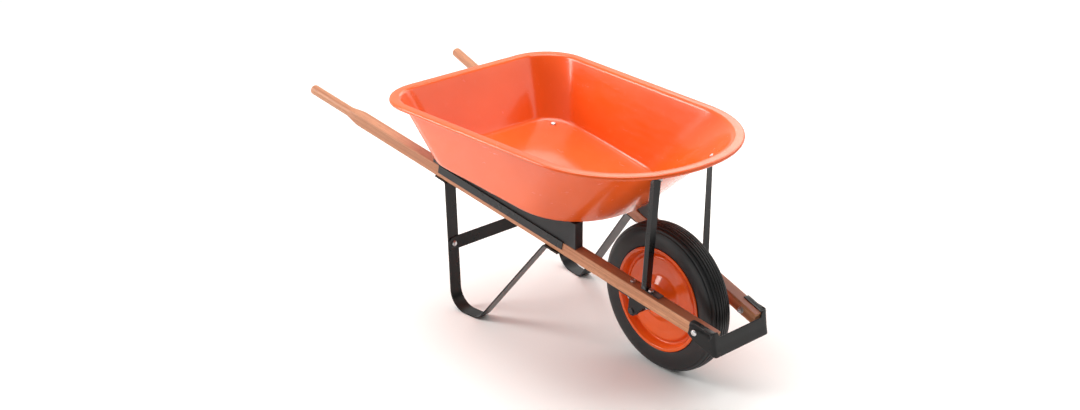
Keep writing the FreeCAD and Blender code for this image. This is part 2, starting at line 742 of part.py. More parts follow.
def make_axle_parts():
    """The axle rod with its spacers, washers and, just inside the webs, its cotter pins."""
    thick = dim("bracket_sheet")
    web = dim("handle_y") + (dim("bracket_width") - thick) / 2
    radius = dim("axle_radius")
    half = web + thick / 2 + dim("axle_end")
    rod = cylinder(radius, 2 * half, Vector(0, -half, 0), Vector(0, 1, 0))
    rod = rod.makeChamfer(1, [edge for edge in rod.Edges if isinstance(edge.Curve, Part.Circle)])
    pin_y, bore = web - thick / 2 - dim("pin_setback"), radius + dim("axle_hole")
    pin_reach, washer = dim("pin_length") / 2, dim("washer_thickness")
    near = dim("hub_half_length") + dim("gap")
    washer_y = pin_y - dim("pin_radius") - dim("gap") - washer
    far = washer_y - dim("gap")
    spacers, washers, pins = [], [], []
    for side in SIDES.values():
        rod = rod.cut(cylinder(dim("pin_radius") + 0.1, 40, Vector(0, side * pin_y, -20)))
        start = near if side > 0 else -far
        spacers.append(tube(dim("spacer_radius"), bore, far - near, Vector(0, start, 0),
                            Vector(0, 1, 0)))
        start = washer_y if side > 0 else -washer_y - washer
        washers.append(tube(dim("washer_radius"), bore, washer, Vector(0, start, 0),
                            Vector(0, 1, 0)))
        pin = cylinder(dim("pin_radius"), dim("pin_length"), Vector(0, side * pin_y, -pin_reach))
        eye = Part.makeTorus(dim("eye_radius"), dim("eye_wire"),
                             Vector(0, side * pin_y, pin_reach + 2.5), Vector(0, 1, 0))
        pins.append(solid_from(pin.fuse(eye)))
    feature("axle", solid_from(rod), WHEEL_FRAME)
    feature("axle_spacer_left", spacers[0], WHEEL_FRAME)
    feature("axle_spacer_right", spacers[1], WHEEL_FRAME)
    feature("axle_washers", Part.makeCompound(washers), WHEEL_FRAME)
    feature("cotter_pins", Part.makeCompound(pins), WHEEL_FRAME)


# ---------------------------------------------------------------- nose guard

# The ear's lower edge in the handle's frame, and the front plate seen from the side: how far
# each of its bends stands back from its foot, and how high it is.
EAR_LOWER_EDGE = [(188, -15), (216, -26), (282, -27)]
PLATE_BENDS = [(9, 218), (5, 191), (0, 167)]
CORNER_BENDS = [(11, 233), (9, 217)]
CORNER_WIDTH = 16
CAP_FRONT, CAP_INSIDE = 256, 3


def bent_sheet(bends, foot, thick, start, width):
    """A sheet bent along lines across the barrow, its foot at a place ahead of the axle."""
    back = [(foot - setback, height) for setback, height in bends]
    front = [(x + thick, height) for x, height in reversed(back)]
    return prism(back + front, start, width)


def make_guard(name):
    """A bent plate ahead of the tyre with an ear on each handle's outer face."""
    thick = dim("guard_sheet")
    rear, foot = dim("guard_rear"), dim("guard_front")
    top = HALF_HANDLE + thick
    pieces = []
    for side in SIDES.values():
        start = HALF_HANDLE if side > 0 else -top
        ear = prism([(rear, top), (rear, HALF_HANDLE)] + EAR_LOWER_EDGE + [(272, top)],
                    start, thick)
        start = CAP_INSIDE if side > 0 else -top
        cap = prism([(rear, HALF_HANDLE), (CAP_FRONT, HALF_HANDLE), (CAP_FRONT, top),
                     (rear, top)], start, top - CAP_INSIDE)
        pieces += [placed(ear, handle_frame(side)), placed(cap, handle_frame(side))]
    yaw = math.radians(dim("handle_yaw"))
    reach = dim("handle_y") - dim("guard_front") * math.tan(yaw) + top * math.cos(yaw)
    plate = bent_sheet(PLATE_BENDS, foot, thick, -reach, 2 * reach)
    pieces.append(placed(plate, AXLE_FRAME))
    for side in SIDES.values():
        start = reach - CORNER_WIDTH if side > 0 else -reach
        corner = bent_sheet(CORNER_BENDS, foot, thick, start, CORNER_WIDTH)
        pieces.append(placed(corner, AXLE_FRAME))
    guard = pieces[0].fuse(pieces[1:])
    for side in SIDES.values():
        guard = guard.cut(guard_drill(side))
    return feature(name, solid_from(guard))


# ---------------------------------------------------------------- wheel

def tyre_section():
    """Half the tyre's section as radius and distance from the middle, bead to crown."""
    radius, half = dim("wheel_radius"), dim("tyre_half_width")
    belly = 170
    points = [(137, 22), (136.3, 30.6), (144.8, 30.6), (146, 34)]
    points += [(belly - fall, half - 3.5 * (fall / 24) ** 2) for fall in (16, 8)]
    crown = radius - belly
    for step in range(13):
        angle = step / 12 * math.pi / 2
        height = belly + crown * math.sin(angle) ** (2 / 2.4)
        points.append((height, half * abs(math.cos(angle)) ** (2 / 2.4)))
    return points


def make_tyre(name):
    outer = tyre_section()
    outer = outer + [(r, -y) for r, y in reversed(outer[:-1])]
    wall = 7
    inner = [(144, 25)]
    for step in range(13):
        angle = step / 12 * math.pi
        inner.append((165 + (dim("wheel_radius") - wall - 2 - 165) * math.sin(angle),
                      (dim("tyre_half_width") - wall) * math.cos(angle)))
    inner.append((144, -25))
    loop = outer + list(reversed(inner))
    section = prism_section(loop)
    return feature(name, turned(section), WHEEL_FRAME)


def prism_section(points):
    """A face in the plane of the wheel's axis: radius along X, the axle along Y."""
    corners = [Vector(r, y, 0) for r, y in points]
    return Part.Face(Part.makePolygon(corners + corners[:1]))


def turned(face):
    return face.revolve(Vector(0, 0, 0), Vector(0, 1, 0), 360)


def make_inner_tube(name):
    """A rubber ring, hollow, inside the tyre."""
    def ellipse(radius, half_width):
        centre = Vector(167, 0, 0)
        curve = Part.Ellipse(centre + Vector(0, half_width, 0), centre + Vector(radius, 0, 0), centre)
        return Part.Face(Part.Wire(curve.toShape()))
    ring_face = ellipse(22, 27).cut(ellipse(20, 25)).Faces[0]
    return feature(name, turned(ring_face), WHEEL_FRAME)


VALVE_ANGLE = 200  # degrees about the axle


def valve_frame():
    """At the valve's hole in the left rim half, Z pointing in and out of the wheel's left."""
    local = Placement(Vector(129, 16, 0), Rotation(Vector(0, 0, 1), Vector(-1, 1, 0)))
    turn = Placement(Vector(0, 0, 0), Rotation(Vector(0, 1, 0), VALVE_ANGLE))
    return WHEEL_FRAME.multiply(turn).multiply(local)


def make_wheel():
    """Two pressed rim halves on a hub tube with bushings, a tyre, its tube and its valve."""
    half_rim = [
        ("136", "{s} * 0"), ("136", "{s} * 31"), ("dims.flange_radius", "{s} * 31"),
        ("dims.flange_radius", "{s} * 35"), ("137", "{s} * 35"), ("131", "{s} * 27.5"),
        ("126", "{s} * 20"), ("116", "{s} * 19"), ("60", "{s} * 22"), ("34", "{s} * 38"),
        ("dims.hub_radius", "{s} * 40"), ("dims.hub_radius", "{s} * 38"),
        ("33", "{s} * (38 - dims.rim_sheet)"), ("59.5", "{s} * (22 - dims.rim_sheet)"),
        ("116", "{s} * (19 - dims.rim_sheet)"), ("127", "{s} * (20 - dims.rim_sheet)"),
        ("132.4", "{s} * 26.3"), ("134", "{s} * 28.4"), ("134", "{s} * 0"),
    ]
    for word, side in SIDES.items():
        corners = [(r, y.format(s=side)) for r, y in half_rim]
        name = f"rim_{word}"
        body = revolved(name, WHEEL_FRAME, corners)
        if side > 0:
            drill = placed(cylinder(4.4, 60, Vector(0, 0, -30)), valve_frame())
            drilled(name, body, [drill])
    hub = [("dims.hub_radius", "dims.hub_half_length"), ("dims.hub_radius", "-dims.hub_half_length"),
           ("dims.hub_bore", "-dims.hub_half_length"), ("dims.hub_bore", "dims.hub_half_length")]
    revolved("hub_tube", WHEEL_FRAME, hub)
    for word, side in SIDES.items():
        outer_end = f"{side} * dims.hub_half_length"
        inner_end = f"{side} * (dims.hub_half_length - dims.bushing_length)"
        bore = "dims.axle_radius + dims.axle_fit"
        revolved(f"hub_bushing_{word}", WHEEL_FRAME,
                 [("dims.hub_bore", outer_end), ("dims.hub_bore", inner_end),
                  (bore, inner_end), (bore, outer_end)])
    make_tyre("tyre")
    make_inner_tube("inner_tube")
    foot = Vector(0, 0, -17.2)
    stem = cylinder(4, 35.2, foot).fuse(cylinder(5.5, 1.2, foot))
    feature("valve_stem", solid_from(stem), valve_frame())
    cap = cylinder(5, 11, Vector(0, 0, 12)).cut(cylinder(4.05, 9, Vector(0, 0, 9.2)))
    feature("valve_cap", solid_from(cap), valve_frame())


# ---------------------------------------------------------------- fasteners

def hex_prism(across, height, base_z):
    radius = across / 2 / math.cos(math.pi / 6)
    points = [(radius * math.cos(math.pi / 3 * k), radius * math.sin(math.pi / 3 * k))
              for k in range(6)]
    return prism(points, base_z, height, "XY")


def round_bolt(length, radius):
    """A low round head above z = 0 and a shank below it."""
    head = Part.makeSphere(radius * 2.6, Vector(0, 0, -radius * 1.55))
    head = head.common(cylinder(radius * 2.6, radius * 2, Vector(0, 0, 0)))
    return solid_from(head.fuse(cylinder(radius, length, Vector(0, 0, -length))))


def hex_bolt(length, radius):
    """A six-sided head above z = 0 and a shank below it."""
    head = hex_prism(radius * 3.25, radius * 1.3, 0)
    return solid_from(head.fuse(cylinder(radius, length, Vector(0, 0, -length))))


def nut(level, radius):
    """A hex nut with a washer face at its top, threaded on a bolt that hangs down."""
    height = radius * 1.6
    body = hex_prism(radius * 3.25, height, level - height)
    body = body.fuse(cylinder(radius * 2.1, 1.2, Vector(0, 0, level - 1.2)))
    thread = cylinder(radius + 0.02, height + 2, Vector(0, 0, level - height - 1))
    return solid_from(body.cut(thread))


def bolt_group(kind, places, radius):
    """Bolts and nuts of one kind: each place is a frame, a bolt and the nut's level."""
    bolts = [placed(bolt, frame) for frame, bolt, level in places]
    nuts = [placed(nut(level, radius), frame) for frame, bolt, level in places]
    feature(kind + "_bolts", Part.makeCompound(bolts))
    feature(kind + "_nuts", Part.makeCompound(nuts))


def make_fasteners():
    """Every bolt with its nut, clamped through the pieces it joins."""
    radius, small = dim("bolt_radius"), dim("small_bolt_radius")
    tray_places, bracket_places, guard_places, brace_places, strut_places = [], [], [], [], []
    for side in SIDES.values():
        frame = handle_frame(side)
        flange = HALF_HANDLE + dim("strap_thickness") + 0.3
        for station in TRAY_BOLTS:
            top = riser_top(station) + dim("gap") + dim("sheet_thickness") + 1.2
            place = frame.multiply(Placement(Vector(station, 0, top), Rotation()))
            tray_places.append((place, round_bolt(top + flange + 12, radius), -top - flange))
        tops = (HALF_HANDLE, HALF_HANDLE + dim("strut_thickness"))
        for station, top in zip(BRACKET_BOLTS, tops):
            top += 0.1
            level = -top - HALF_HANDLE - dim("bracket_sheet") - 0.1
            place = frame.multiply(Placement(Vector(station, 0, top), Rotation()))
            bracket_places.append((place, hex_bolt(-level + 13, radius), level))
        outward = Rotation(Vector(1, 0, 0), -90 * side)
        face = HALF_HANDLE + dim("guard_sheet") + 0.1
        place = Vector(GUARD_BOLT, side * face, GUARD_BOLT_DROP)
        guard_level = -face - HALF_HANDLE - 0.1
        guard_places.append((frame.multiply(Placement(place, outward)),
                             round_bolt(-guard_level + 11, radius), guard_level))
        face = dim("strap_thickness") / 2 + dim("brace_thickness") + 0.15
        forward = Placement(Vector(face, 0, 0), Rotation(Vector(0, 1, 0), 90))
        brace_level = -face - dim("strap_thickness") / 2 - 0.1
        brace_places.append((brace_frame(side).multiply(forward),
                             round_bolt(-brace_level + 11, radius), brace_level))
        inside = Placement(Vector(0, 0, dim("strut_head")), Rotation())
        strut_level = -dim("strut_head") - dim("strut_clear") - dim("strut_thickness") - 0.1
        strut_places.append((strut_frame(side).multiply(inside),
                             round_bolt(-strut_level + 10, small), strut_level))
    bolt_group("tray", tray_places, radius)
    bolt_group("bracket", bracket_places, radius)
    bolt_group("guard", guard_places, radius)
    bolt_group("brace", brace_places, radius)
    bolt_group("strut", strut_places, small)


# ---------------------------------------------------------------- the whole barrow

def build():
    feature("tray", make_tray())
    for word, side in SIDES.items():
        make_handle(f"handle_{word}", side)
        make_riser(f"riser_{word}", side)
        make_rail(f"side_rail_{word}", side)
        make_leg(f"leg_{word}", side)
        make_strut(f"front_strut_{word}", side)
        make_bracket(f"axle_bracket_{word}", side)
    make_brace("leg_brace")
    make_guard("nose_guard")
    make_axle_parts()
    make_wheel()
    make_fasteners()
    doc.recompute()


def export():
    """Checks every object, then writes each sub-part under its label."""
    for item in doc.Objects:
        if "Invalid" in item.State or "Error" in item.State:
            raise RuntimeError(f"{item.Label} did not build: {item.State}")
    helpers = ("_blank", "_drills")
    names = []
    for item in doc.Objects:
        made = item.TypeId in ("PartDesign::Body", "Part::Cut", "Part::Feature")
        if not made or item.Label.endswith(helpers) or item.Name.endswith(helpers):
            continue
        if item.Shape.isNull() or not item.Shape.isValid():
            raise RuntimeError(f"{item.Label} has no valid shape")
        names.append(item)
    low, high = Vector(1e9, 1e9, 1e9), Vector(-1e9, -1e9, -1e9)
    for item in names:
        item.Shape.exportStep(f"parts/{item.Label}.step")
        box = item.Shape.optimalBoundingBox()
        low = Vector(min(low.x, box.XMin), min(low.y, box.YMin), min(low.z, box.ZMin))
        high = Vector(max(high.x, box.XMax), max(high.y, box.YMax), max(high.z, box.ZMax))
    print(f"{len(names)} sub-parts, box {low} to {high}")


build()
export()
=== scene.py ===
"""A wheelbarrow's looks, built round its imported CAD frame. Lengths are in metres."""

import json
import math

import bmesh
import bpy
from mathutils import Matrix, Vector


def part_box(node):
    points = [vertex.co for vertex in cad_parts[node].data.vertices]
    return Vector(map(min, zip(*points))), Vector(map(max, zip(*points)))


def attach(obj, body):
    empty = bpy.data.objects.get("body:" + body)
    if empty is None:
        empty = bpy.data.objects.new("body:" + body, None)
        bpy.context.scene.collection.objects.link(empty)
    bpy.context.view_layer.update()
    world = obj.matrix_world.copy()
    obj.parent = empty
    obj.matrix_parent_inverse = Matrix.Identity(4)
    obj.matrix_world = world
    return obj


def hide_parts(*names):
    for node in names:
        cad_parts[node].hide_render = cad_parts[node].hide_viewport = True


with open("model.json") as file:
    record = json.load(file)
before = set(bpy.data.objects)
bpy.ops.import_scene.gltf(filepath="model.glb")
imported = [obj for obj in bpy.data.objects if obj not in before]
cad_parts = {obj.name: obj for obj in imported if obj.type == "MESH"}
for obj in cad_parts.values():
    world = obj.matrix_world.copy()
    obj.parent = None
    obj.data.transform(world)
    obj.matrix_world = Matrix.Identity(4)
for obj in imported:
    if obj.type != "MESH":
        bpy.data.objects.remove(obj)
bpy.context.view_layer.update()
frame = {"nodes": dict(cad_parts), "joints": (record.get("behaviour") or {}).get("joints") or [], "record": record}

MM = 0.001
NODES = frame["nodes"]
SIDES = {"left": 1, "right": -1}
MOUNTS = {mount["name"]: mount for mount in frame["record"]["mounts"]}
AXLE = Vector(frame["joints"][0]["pos_m"])


# ---------------------------------------------------------------- places

def handle_place(word):
    """A handle's own frame: X forward along it, Y level, Z square to its top, over the axle."""
    mount = MOUNTS[f"grip_{word}"]
    forward = -Vector(mount["axis"])
    across = Vector((0, 0, 1)).cross(forward).normalized()
    up = forward.cross(across)
    middle = Vector(mount["pos_m"])
    over_axle = middle + forward * ((AXLE.x - middle.x) / forward.x)
    return Matrix.Translation(over_axle) @ Matrix((forward, across, up)).transposed().to_4x4()


def axle_place():
    """The axle's frame, with Z along the axle so that profiles can turn about it."""
    return Matrix.Translation(AXLE) @ Matrix.Rotation(math.radians(-90), 4, "X")


HANDLE = {word: handle_place(word) for word in SIDES}


def span(node, place=Matrix.Identity(4)):
    """Lowest and highest corner of a CAD node, measured in a frame of its own."""
    back = place.inverted()
    points = [back @ vertex.co for vertex in NODES[node].data.vertices]
    low = Vector([min(p[k] for p in points) for k in range(3)])
    high = Vector([max(p[k] for p in points) for k in range(3)])
    return low, high


# ---------------------------------------------------------------- mesh helpers

def fillet(points, radii, steps=5, closed=False):
    """A path of points whose corners are rounded by arcs: lists of vectors, radii in metres."""
    count = len(points)
    path = []
    for index, (corner, radius) in enumerate(zip(points, radii)):
        at_end = index in (0, count - 1) and not closed
        if at_end or radius <= 0:
            path += [corner.copy()] * (1 if at_end else steps + 1)
            continue
        back = (points[index - 1] - corner).normalized()
        ahead = (points[(index + 1) % count] - corner).normalized()
        half = back.angle(ahead) / 2
        if half > math.radians(89.9):
            path += [corner.copy()] * (steps + 1)
            continue
        setback = radius / math.tan(half)
        centre = corner + (back + ahead).normalized() * (radius / math.sin(half))
        start = corner + back * setback - centre
        end = corner + ahead * setback - centre
        whole = start.angle(end)
        for step in range(steps + 1):
            share = step / steps
            weight_a = math.sin((1 - share) * whole) / math.sin(whole)
            weight_b = math.sin(share * whole) / math.sin(whole)
            path.append(centre + start * weight_a + end * weight_b)
    return path


def rounded(corners, steps=4, closed=True):
    """A profile of (u, v, radius) corners in millimetres, rounded, as pairs in metres."""
    points = [Vector((u, v, 0)) * MM for u, v, radius in corners]
    path = fillet(points, [radius * MM for u, v, radius in corners], steps, closed)
    return [(p.x, p.y) for p in path]


def new_object(name, mesh, place=Matrix.Identity(4)):
    obj = bpy.data.objects.new(name, mesh)
    bpy.context.scene.collection.objects.link(obj)
    obj.matrix_world = place
    return obj


def from_bmesh(name, bm, place=Matrix.Identity(4), sharp=38):
    """An object from a bmesh: merged, with outward normals, smooth except at sharp edges."""
    bmesh.ops.remove_doubles(bm, verts=bm.verts, dist=2e-6)
    bmesh.ops.dissolve_degenerate(bm, edges=bm.edges, dist=1e-6)
    bmesh.ops.recalc_face_normals(bm, faces=bm.faces)
    mesh = bpy.data.meshes.new(name)
    bm.to_mesh(mesh)
    bm.free()
    mesh.shade_smooth()
    mesh.set_sharp_from_angle(angle=math.radians(sharp))
    return new_object(name, mesh, place)


def skin(bm, rings, around=True, caps=False):
    """Quads between rings of points. Around closes each ring; caps closes both ends."""
    rows = [[bm.verts.new(point) for point in ring] for ring in rings]
    for lower, upper in zip(rows, rows[1:]):
        count = len(lower)
        for index in range(count if around else count - 1):
            after = (index + 1) % count
            bm.faces.new((lower[index], lower[after], upper[after], upper[index]))
    if caps:
        bm.faces.new(rows[0])
        bm.faces.new(rows[-1])
    return rows


def turned(name, profile, place, segments=96, closed=True, sharp=38):
    """A (radius, height) profile turned about the place's Z axis."""
    bm = bmesh.new()
    loop = list(profile) + ([profile[0]] if closed else [])
    rings = []
    for radius, height in loop:
        radius = max(radius, 1e-5)
        rings.append([
            Vector((radius * math.cos(a), radius * math.sin(a), height))
            for a in (2 * math.pi * k / segments for k in range(segments))
        ])
    skin(bm, rings)
    return from_bmesh(name, bm, place, sharp)


def join(name, parts):
    """One object out of several, in the row frame."""
    bm = bmesh.new()
    for part in parts:
        start = len(bm.verts)
        bm.from_mesh(part.data)
        bm.verts.ensure_lookup_table()
        for vertex in bm.verts[start:]:
            vertex.co = part.matrix_world @ vertex.co
        bpy.data.objects.remove(part)
    mesh = bpy.data.meshes.new(name)
    bm.to_mesh(mesh)
    bm.free()
    mesh.shade_smooth()
    mesh.set_sharp_from_angle(angle=math.radians(38))
    return new_object(name, mesh)


def even_shading(obj):
    """Keeps flat faces flat-looking next to rounded edges."""
    weighted = obj.modifiers.new("even", "WEIGHTED_NORMAL")
    weighted.keep_sharp = True
    return obj


def softened(name, node, edge, segments=3, angle=35):
    """The CAD node's own shape, its flat faces joined up and its edges rounded."""
    bm = bmesh.new()
    bm.from_mesh(NODES[node].data)
    bmesh.ops.remove_doubles(bm, verts=bm.verts, dist=5e-6)
    bmesh.ops.dissolve_limit(bm, angle_limit=math.radians(0.6), verts=bm.verts, edges=bm.edges)
    sharp = [e for e in bm.edges if e.calc_face_angle(0) > math.radians(angle)]
    bmesh.ops.bevel(bm, geom=sharp, offset=edge * MM, segments=segments, profile=0.5,
                    affect="EDGES", clamp_overlap=True)
    return even_shading(from_bmesh(name, bm))


def finish_piece(obj, body, slot, material, *nodes):
    """Gives a piece its finish and its body, and hides the CAD nodes that it stands for."""
    obj.data.materials.clear()
    obj.data.materials.append(material)
    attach(obj, body)
    if nodes:
        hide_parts(*nodes)
    return obj


# ---------------------------------------------------------------- materials

class Finish:
    """A Principled material and short ways to add nodes to it."""

    def __init__(self, name, **settings):
        self.material = bpy.data.materials.new(name)
        self.material.use_nodes = True
        self.tree = self.material.node_tree
        self.shader = self.tree.nodes["Principled BSDF"]
        for label, value in settings.items():
            self.shader.inputs[label.replace("_", " ")].default_value = value

    def node(self, kind, **inputs):
        made = self.tree.nodes.new("ShaderNode" + kind)
        for label, value in inputs.items():
            self.feed(made.inputs[label.replace("_", " ")], value)
        return made

    def feed(self, socket, value):
        if isinstance(value, bpy.types.NodeSocket):
            self.tree.links.new(value, socket)
        else:
            socket.default_value = value

    def coords(self, scale=(1, 1, 1), turn=(0, 0, 0), shift=(0, 0, 0)):
        """Object coordinates, stretched."""
        source = self.node("TexCoord").outputs["Object"]
        mapping = self.node("Mapping", Vector=source, Scale=scale, Rotation=turn, Location=shift)
        return mapping.outputs["Vector"]

    def noise(self, vector, scale, detail=4.0, rough=0.5, distortion=0.0):
        made = self.node("TexNoise", Vector=vector, Scale=scale, Detail=detail, Roughness=rough,
                         Distortion=distortion)
        return made.outputs["Fac"]

    def ramp(self, factor, *stops):
        """Stops are (place, colour or grey level)."""
        made = self.node("ValToRGB", Fac=factor)
        elements = made.color_ramp.elements
        while len(elements) < len(stops):
            elements.new(0.5)
        for element, (place, colour) in zip(elements, stops):
            element.position = place
            element.color = (colour,) * 3 + (1,) if isinstance(colour, float) else (*colour, 1)
        return made.outputs["Color"]

    def mix(self, factor, first, second):
        made = self.tree.nodes.new("ShaderNodeMix")
        made.data_type = "RGBA"
        colours = [s for s in made.inputs if s.type == "RGBA"]
        self.feed(made.inputs[0], factor)
        for socket, value in zip(colours, (first, second)):
            fits = isinstance(value, bpy.types.NodeSocket) or len(value) == 4
            self.feed(socket, value if fits else (*value, 1))
        return [s for s in made.outputs if s.type == "RGBA"][0]

    def math(self, operation, first, second=0.0, third=0.0):
        made = self.tree.nodes.new("ShaderNodeMath")
        made.operation = operation
        for socket, value in zip(made.inputs, (first, second, third)):
            self.feed(socket, value)
        return made.outputs["Value"]

    def edges(self, low, high):
        """Near 1 on the piece's outer edges, for worn edges on the black coats and a painted edge highlight on the
        enamel.
        """
        pointed = self.node("NewGeometry").outputs["Pointiness"]
        return self.ramp(pointed, (low, 0.0), (high, 1.0))

    def bump(self, *layers):
        """Layers are (height, strength, distance in millimetres)."""
        normal = None
        for height, strength, distance in layers:
            made = self.node("Bump", Height=height, Strength=strength, Distance=distance * MM)
            if normal is not None:
                self.feed(made.inputs["Normal"], normal)
            normal = made.outputs["Normal"]
        self.feed(self.shader.inputs["Normal"], normal)

    def set(self, label, value):
        self.feed(self.shader.inputs[label], value)


def enamel(name, colour, deep, pale, roughness):
    """Sprayed gloss enamel: slow colour drift, orange peel, a little dust and a painted highlight that pales its
    outer edges.
    """
    finish = Finish(name, Coat_Weight=0.25, Coat_Roughness=0.06, Specular_IOR_Level=0.4)
    place = finish.coords()
    drift = finish.noise(place, 3.2, 3.0)
    base = finish.mix(finish.ramp(drift, (0.35, 0.0), (0.7, 1.0)), colour, deep)
    dust = finish.ramp(finish.noise(place, 38, 8.0, 0.7), (0.58, 0.0), (0.84, 0.12))
    base = finish.mix(dust, base, pale)
    # Painted highlight: the outer edges are mixed towards the pale colour.
    base = finish.mix(finish.edges(0.55, 0.75), base, pale)
    finish.set("Base Color", base)
    smears = finish.noise(finish.coords((2, 9, 9)), 6, 6.0, 0.65)
    rough = finish.node("MapRange", Value=smears, From_Min=0.3, From_Max=0.75,
                        To_Min=roughness * 0.75, To_Max=roughness * 1.5)
    finish.set("Roughness", rough.outputs["Result"])
    peel = finish.noise(place, 260, 2.0, 0.4)
    waves = finish.noise(place, 16, 1.0, 0.4)
    finish.bump((peel, 0.12, 0.12), (waves, 0.06, 1.2))
    return finish.material


# The wood's tones from dark to light with their places in the grain, and the tints over them.
WOOD_TONES = ((0.18, (0.46, 0.18, 0.08)), (0.42, (0.61, 0.265, 0.13)),
              (0.62, (0.69, 0.32, 0.165)), (0.85, (0.76, 0.395, 0.225)))
WOOD_FIBRE = (0.30, 0.12, 0.055)
WOOD_PORE = (0.16, 0.055, 0.025)
# painted shade, laid on the handles' tops towards the front
WOOD_PAINTED_SHADE = (0.20, 0.045, 0.018)
WOOD_HANDLED = (0.30, 0.105, 0.045)
WOOD_BLOTCH = (0.42, 0.15, 0.065)


def hardwood(name, shift):
    """Oiled hardwood with its grain along X: painted shade darkens its top towards the front, browner at the
    grips.
    """
    finish = Finish(name, Specular_IOR_Level=0.45, Coat_Weight=0.12, Coat_Roughness=0.3)
    place = finish.coords((1, 1, 1), shift=shift)
    bend = finish.noise(finish.coords((2.2, 12, 12), shift=shift), 1.0, 2.0)
    stretched = finish.coords((3.0, 62, 62), shift=shift)
    figure = finish.noise(stretched, 1.0, 5.0, 0.55, 0.6)
    rings = finish.node("TexWave", Vector=finish.coords((0.45, 26, 31), shift=shift), Scale=1.0,
                        Distortion=7.0, Detail=4.0, Detail_Scale=1.6, Detail_Roughness=0.6)
    rings.wave_type = "RINGS"
    rings.rings_direction = "X"
    bands = finish.math("MULTIPLY_ADD", rings.outputs["Fac"], 0.45,
                        finish.math("MULTIPLY", figure, 0.55))
    colour = finish.ramp(bands, *WOOD_TONES)
    fine = finish.noise(finish.coords((14, 620, 620), shift=shift), 1.0, 3.0, 0.6)
    colour = finish.mix(finish.ramp(fine, (0.30, 0.40), (0.62, 0.0)), colour, WOOD_FIBRE)
    pores = finish.noise(finish.coords((48, 1500, 1500), shift=shift), 1.0, 1.0, 0.3)
    pore_mask = finish.ramp(pores, (0.62, 0.0), (0.70, 0.8))
    colour = finish.mix(pore_mask, colour, WOOD_PORE)
    # Painted shade: faces that look up are darkened more the further forward they are.
    normal = finish.node("TexCoord").outputs["Normal"]
    facing = finish.node("SeparateXYZ", Vector=normal).outputs["Z"]
    upward = finish.ramp(facing, (0.55, 0.0), (0.9, 1.0))
    own_place = finish.node("TexCoord").outputs["Object"]
    along = finish.node("SeparateXYZ", Vector=own_place).outputs["X"]
    forward = finish.node("MapRange", Value=along, From_Min=-0.6, From_Max=0.15,
                          To_Min=0.0, To_Max=0.85).outputs["Result"]
    painted_shade = finish.math("MULTIPLY", upward, forward)
    colour = finish.mix(painted_shade, colour, WOOD_PAINTED_SHADE)
    handled = finish.node("MapRange", Value=along, From_Min=-0.7, From_Max=0.1,
                          To_Min=0.45, To_Max=0.0).outputs["Result"]
    colour = finish.mix(handled, colour, WOOD_HANDLED)
    blotch = finish.ramp(finish.noise(place, 9, 3.0), (0.35, 0.0), (0.75, 0.3))
    colour = finish.mix(blotch, colour, WOOD_BLOTCH)
    finish.set("Base Color", colour)
    rough = finish.node("MapRange", Value=fine, To_Min=0.34, To_Max=0.58).outputs["Result"]
    finish.set("Roughness", rough)
    finish.bump((fine, 0.25, 0.25), (pore_mask, 0.3, -0.15), (bend, 0.05, 1.0))
    return finish.material


def black_coat(name, grey, roughness, texture_scale, along=(1, 1, 1)):
    """Satin black coat over steel or wood, with fine texture, rubs and worn edges."""
    finish = Finish(name, Specular_IOR_Level=0.3)
    place = finish.coords()
    cloud = finish.noise(place, 14, 4.0, 0.6)
    colour = finish.ramp(cloud, (0.3, (grey * 0.8, grey * 0.8, grey * 0.86)),
                         (0.75, (grey * 1.3, grey * 1.32, grey * 1.38)))
    rubs = finish.noise(finish.coords(along), 60, 8.0, 0.75)
    rub_mask = finish.ramp(rubs, (0.60, 0.0), (0.80, 0.22))
    colour = finish.mix(rub_mask, colour, (0.05, 0.05, 0.053))
    colour = finish.mix(finish.edges(0.53, 0.66), colour, (0.12, 0.12, 0.125))
    finish.set("Base Color", colour)
    rough = finish.node("MapRange", Value=cloud, From_Min=0.3, From_Max=0.7,
                        To_Min=roughness * 0.85, To_Max=roughness * 1.2)
    finish.set("Roughness", rough.outputs["Result"])
    grit = finish.noise(finish.coords(along), texture_scale, 3.0, 0.6)
    finish.bump((grit, 0.25, 0.12), (cloud, 0.04, 0.8))
    return finish.material


def zinc(name):
    """Bright zinc plate: grey metal, faint spangle, brushed scratches."""
    finish = Finish(name, Metallic=1.0)
    place = finish.coords()
    spangle = finish.node("TexVoronoi", Vector=place, Scale=420.0).outputs["Color"]
    grey = finish.node("RGBToBW", Color=spangle).outputs["Val"]
    colour = finish.ramp(grey, (0.1, (0.58, 0.58, 0.60)), (0.9, (0.82, 0.82, 0.83)))
    tarnish = finish.ramp(finish.noise(place, 130, 5.0, 0.65), (0.5, 0.0), (0.75, 0.5))
    finish.set("Base Color", finish.mix(tarnish, colour, (0.40, 0.38, 0.35)))
    rough = finish.node("MapRange", Value=finish.noise(place, 300, 5.0), To_Min=0.18, To_Max=0.42)
    finish.set("Roughness", rough.outputs["Result"])
    finish.bump((finish.noise(finish.coords((1, 1, 6)), 900, 2.0), 0.15, 0.04))
    return finish.material


def rubber_finish(name):
    """Black moulded rubber: matt, faintly dusty, with a fine moulded skin."""
    finish = Finish(name, Specular_IOR_Level=0.45)
    place = finish.coords()
    cloud = finish.noise(place, 11, 6.0, 0.65)
    colour = finish.ramp(cloud, (0.3, (0.007, 0.0075, 0.0085)), (0.75, (0.015, 0.0155, 0.017)))
    dust = finish.ramp(finish.noise(place, 75, 8.0, 0.75), (0.56, 0.0), (0.8, 0.16))
    finish.set("Base Color", finish.mix(dust, colour, (0.05, 0.049, 0.048)))
    rough = finish.node("MapRange", Value=cloud, From_Min=0.3, From_Max=0.7,
                        To_Min=0.36, To_Max=0.52)
    finish.set("Roughness", rough.outputs["Result"])
    skin_bump = finish.noise(place, 950, 3.0, 0.6)
    finish.bump((skin_bump, 0.22, 0.12), (cloud, 0.05, 0.8))
    return finish.material


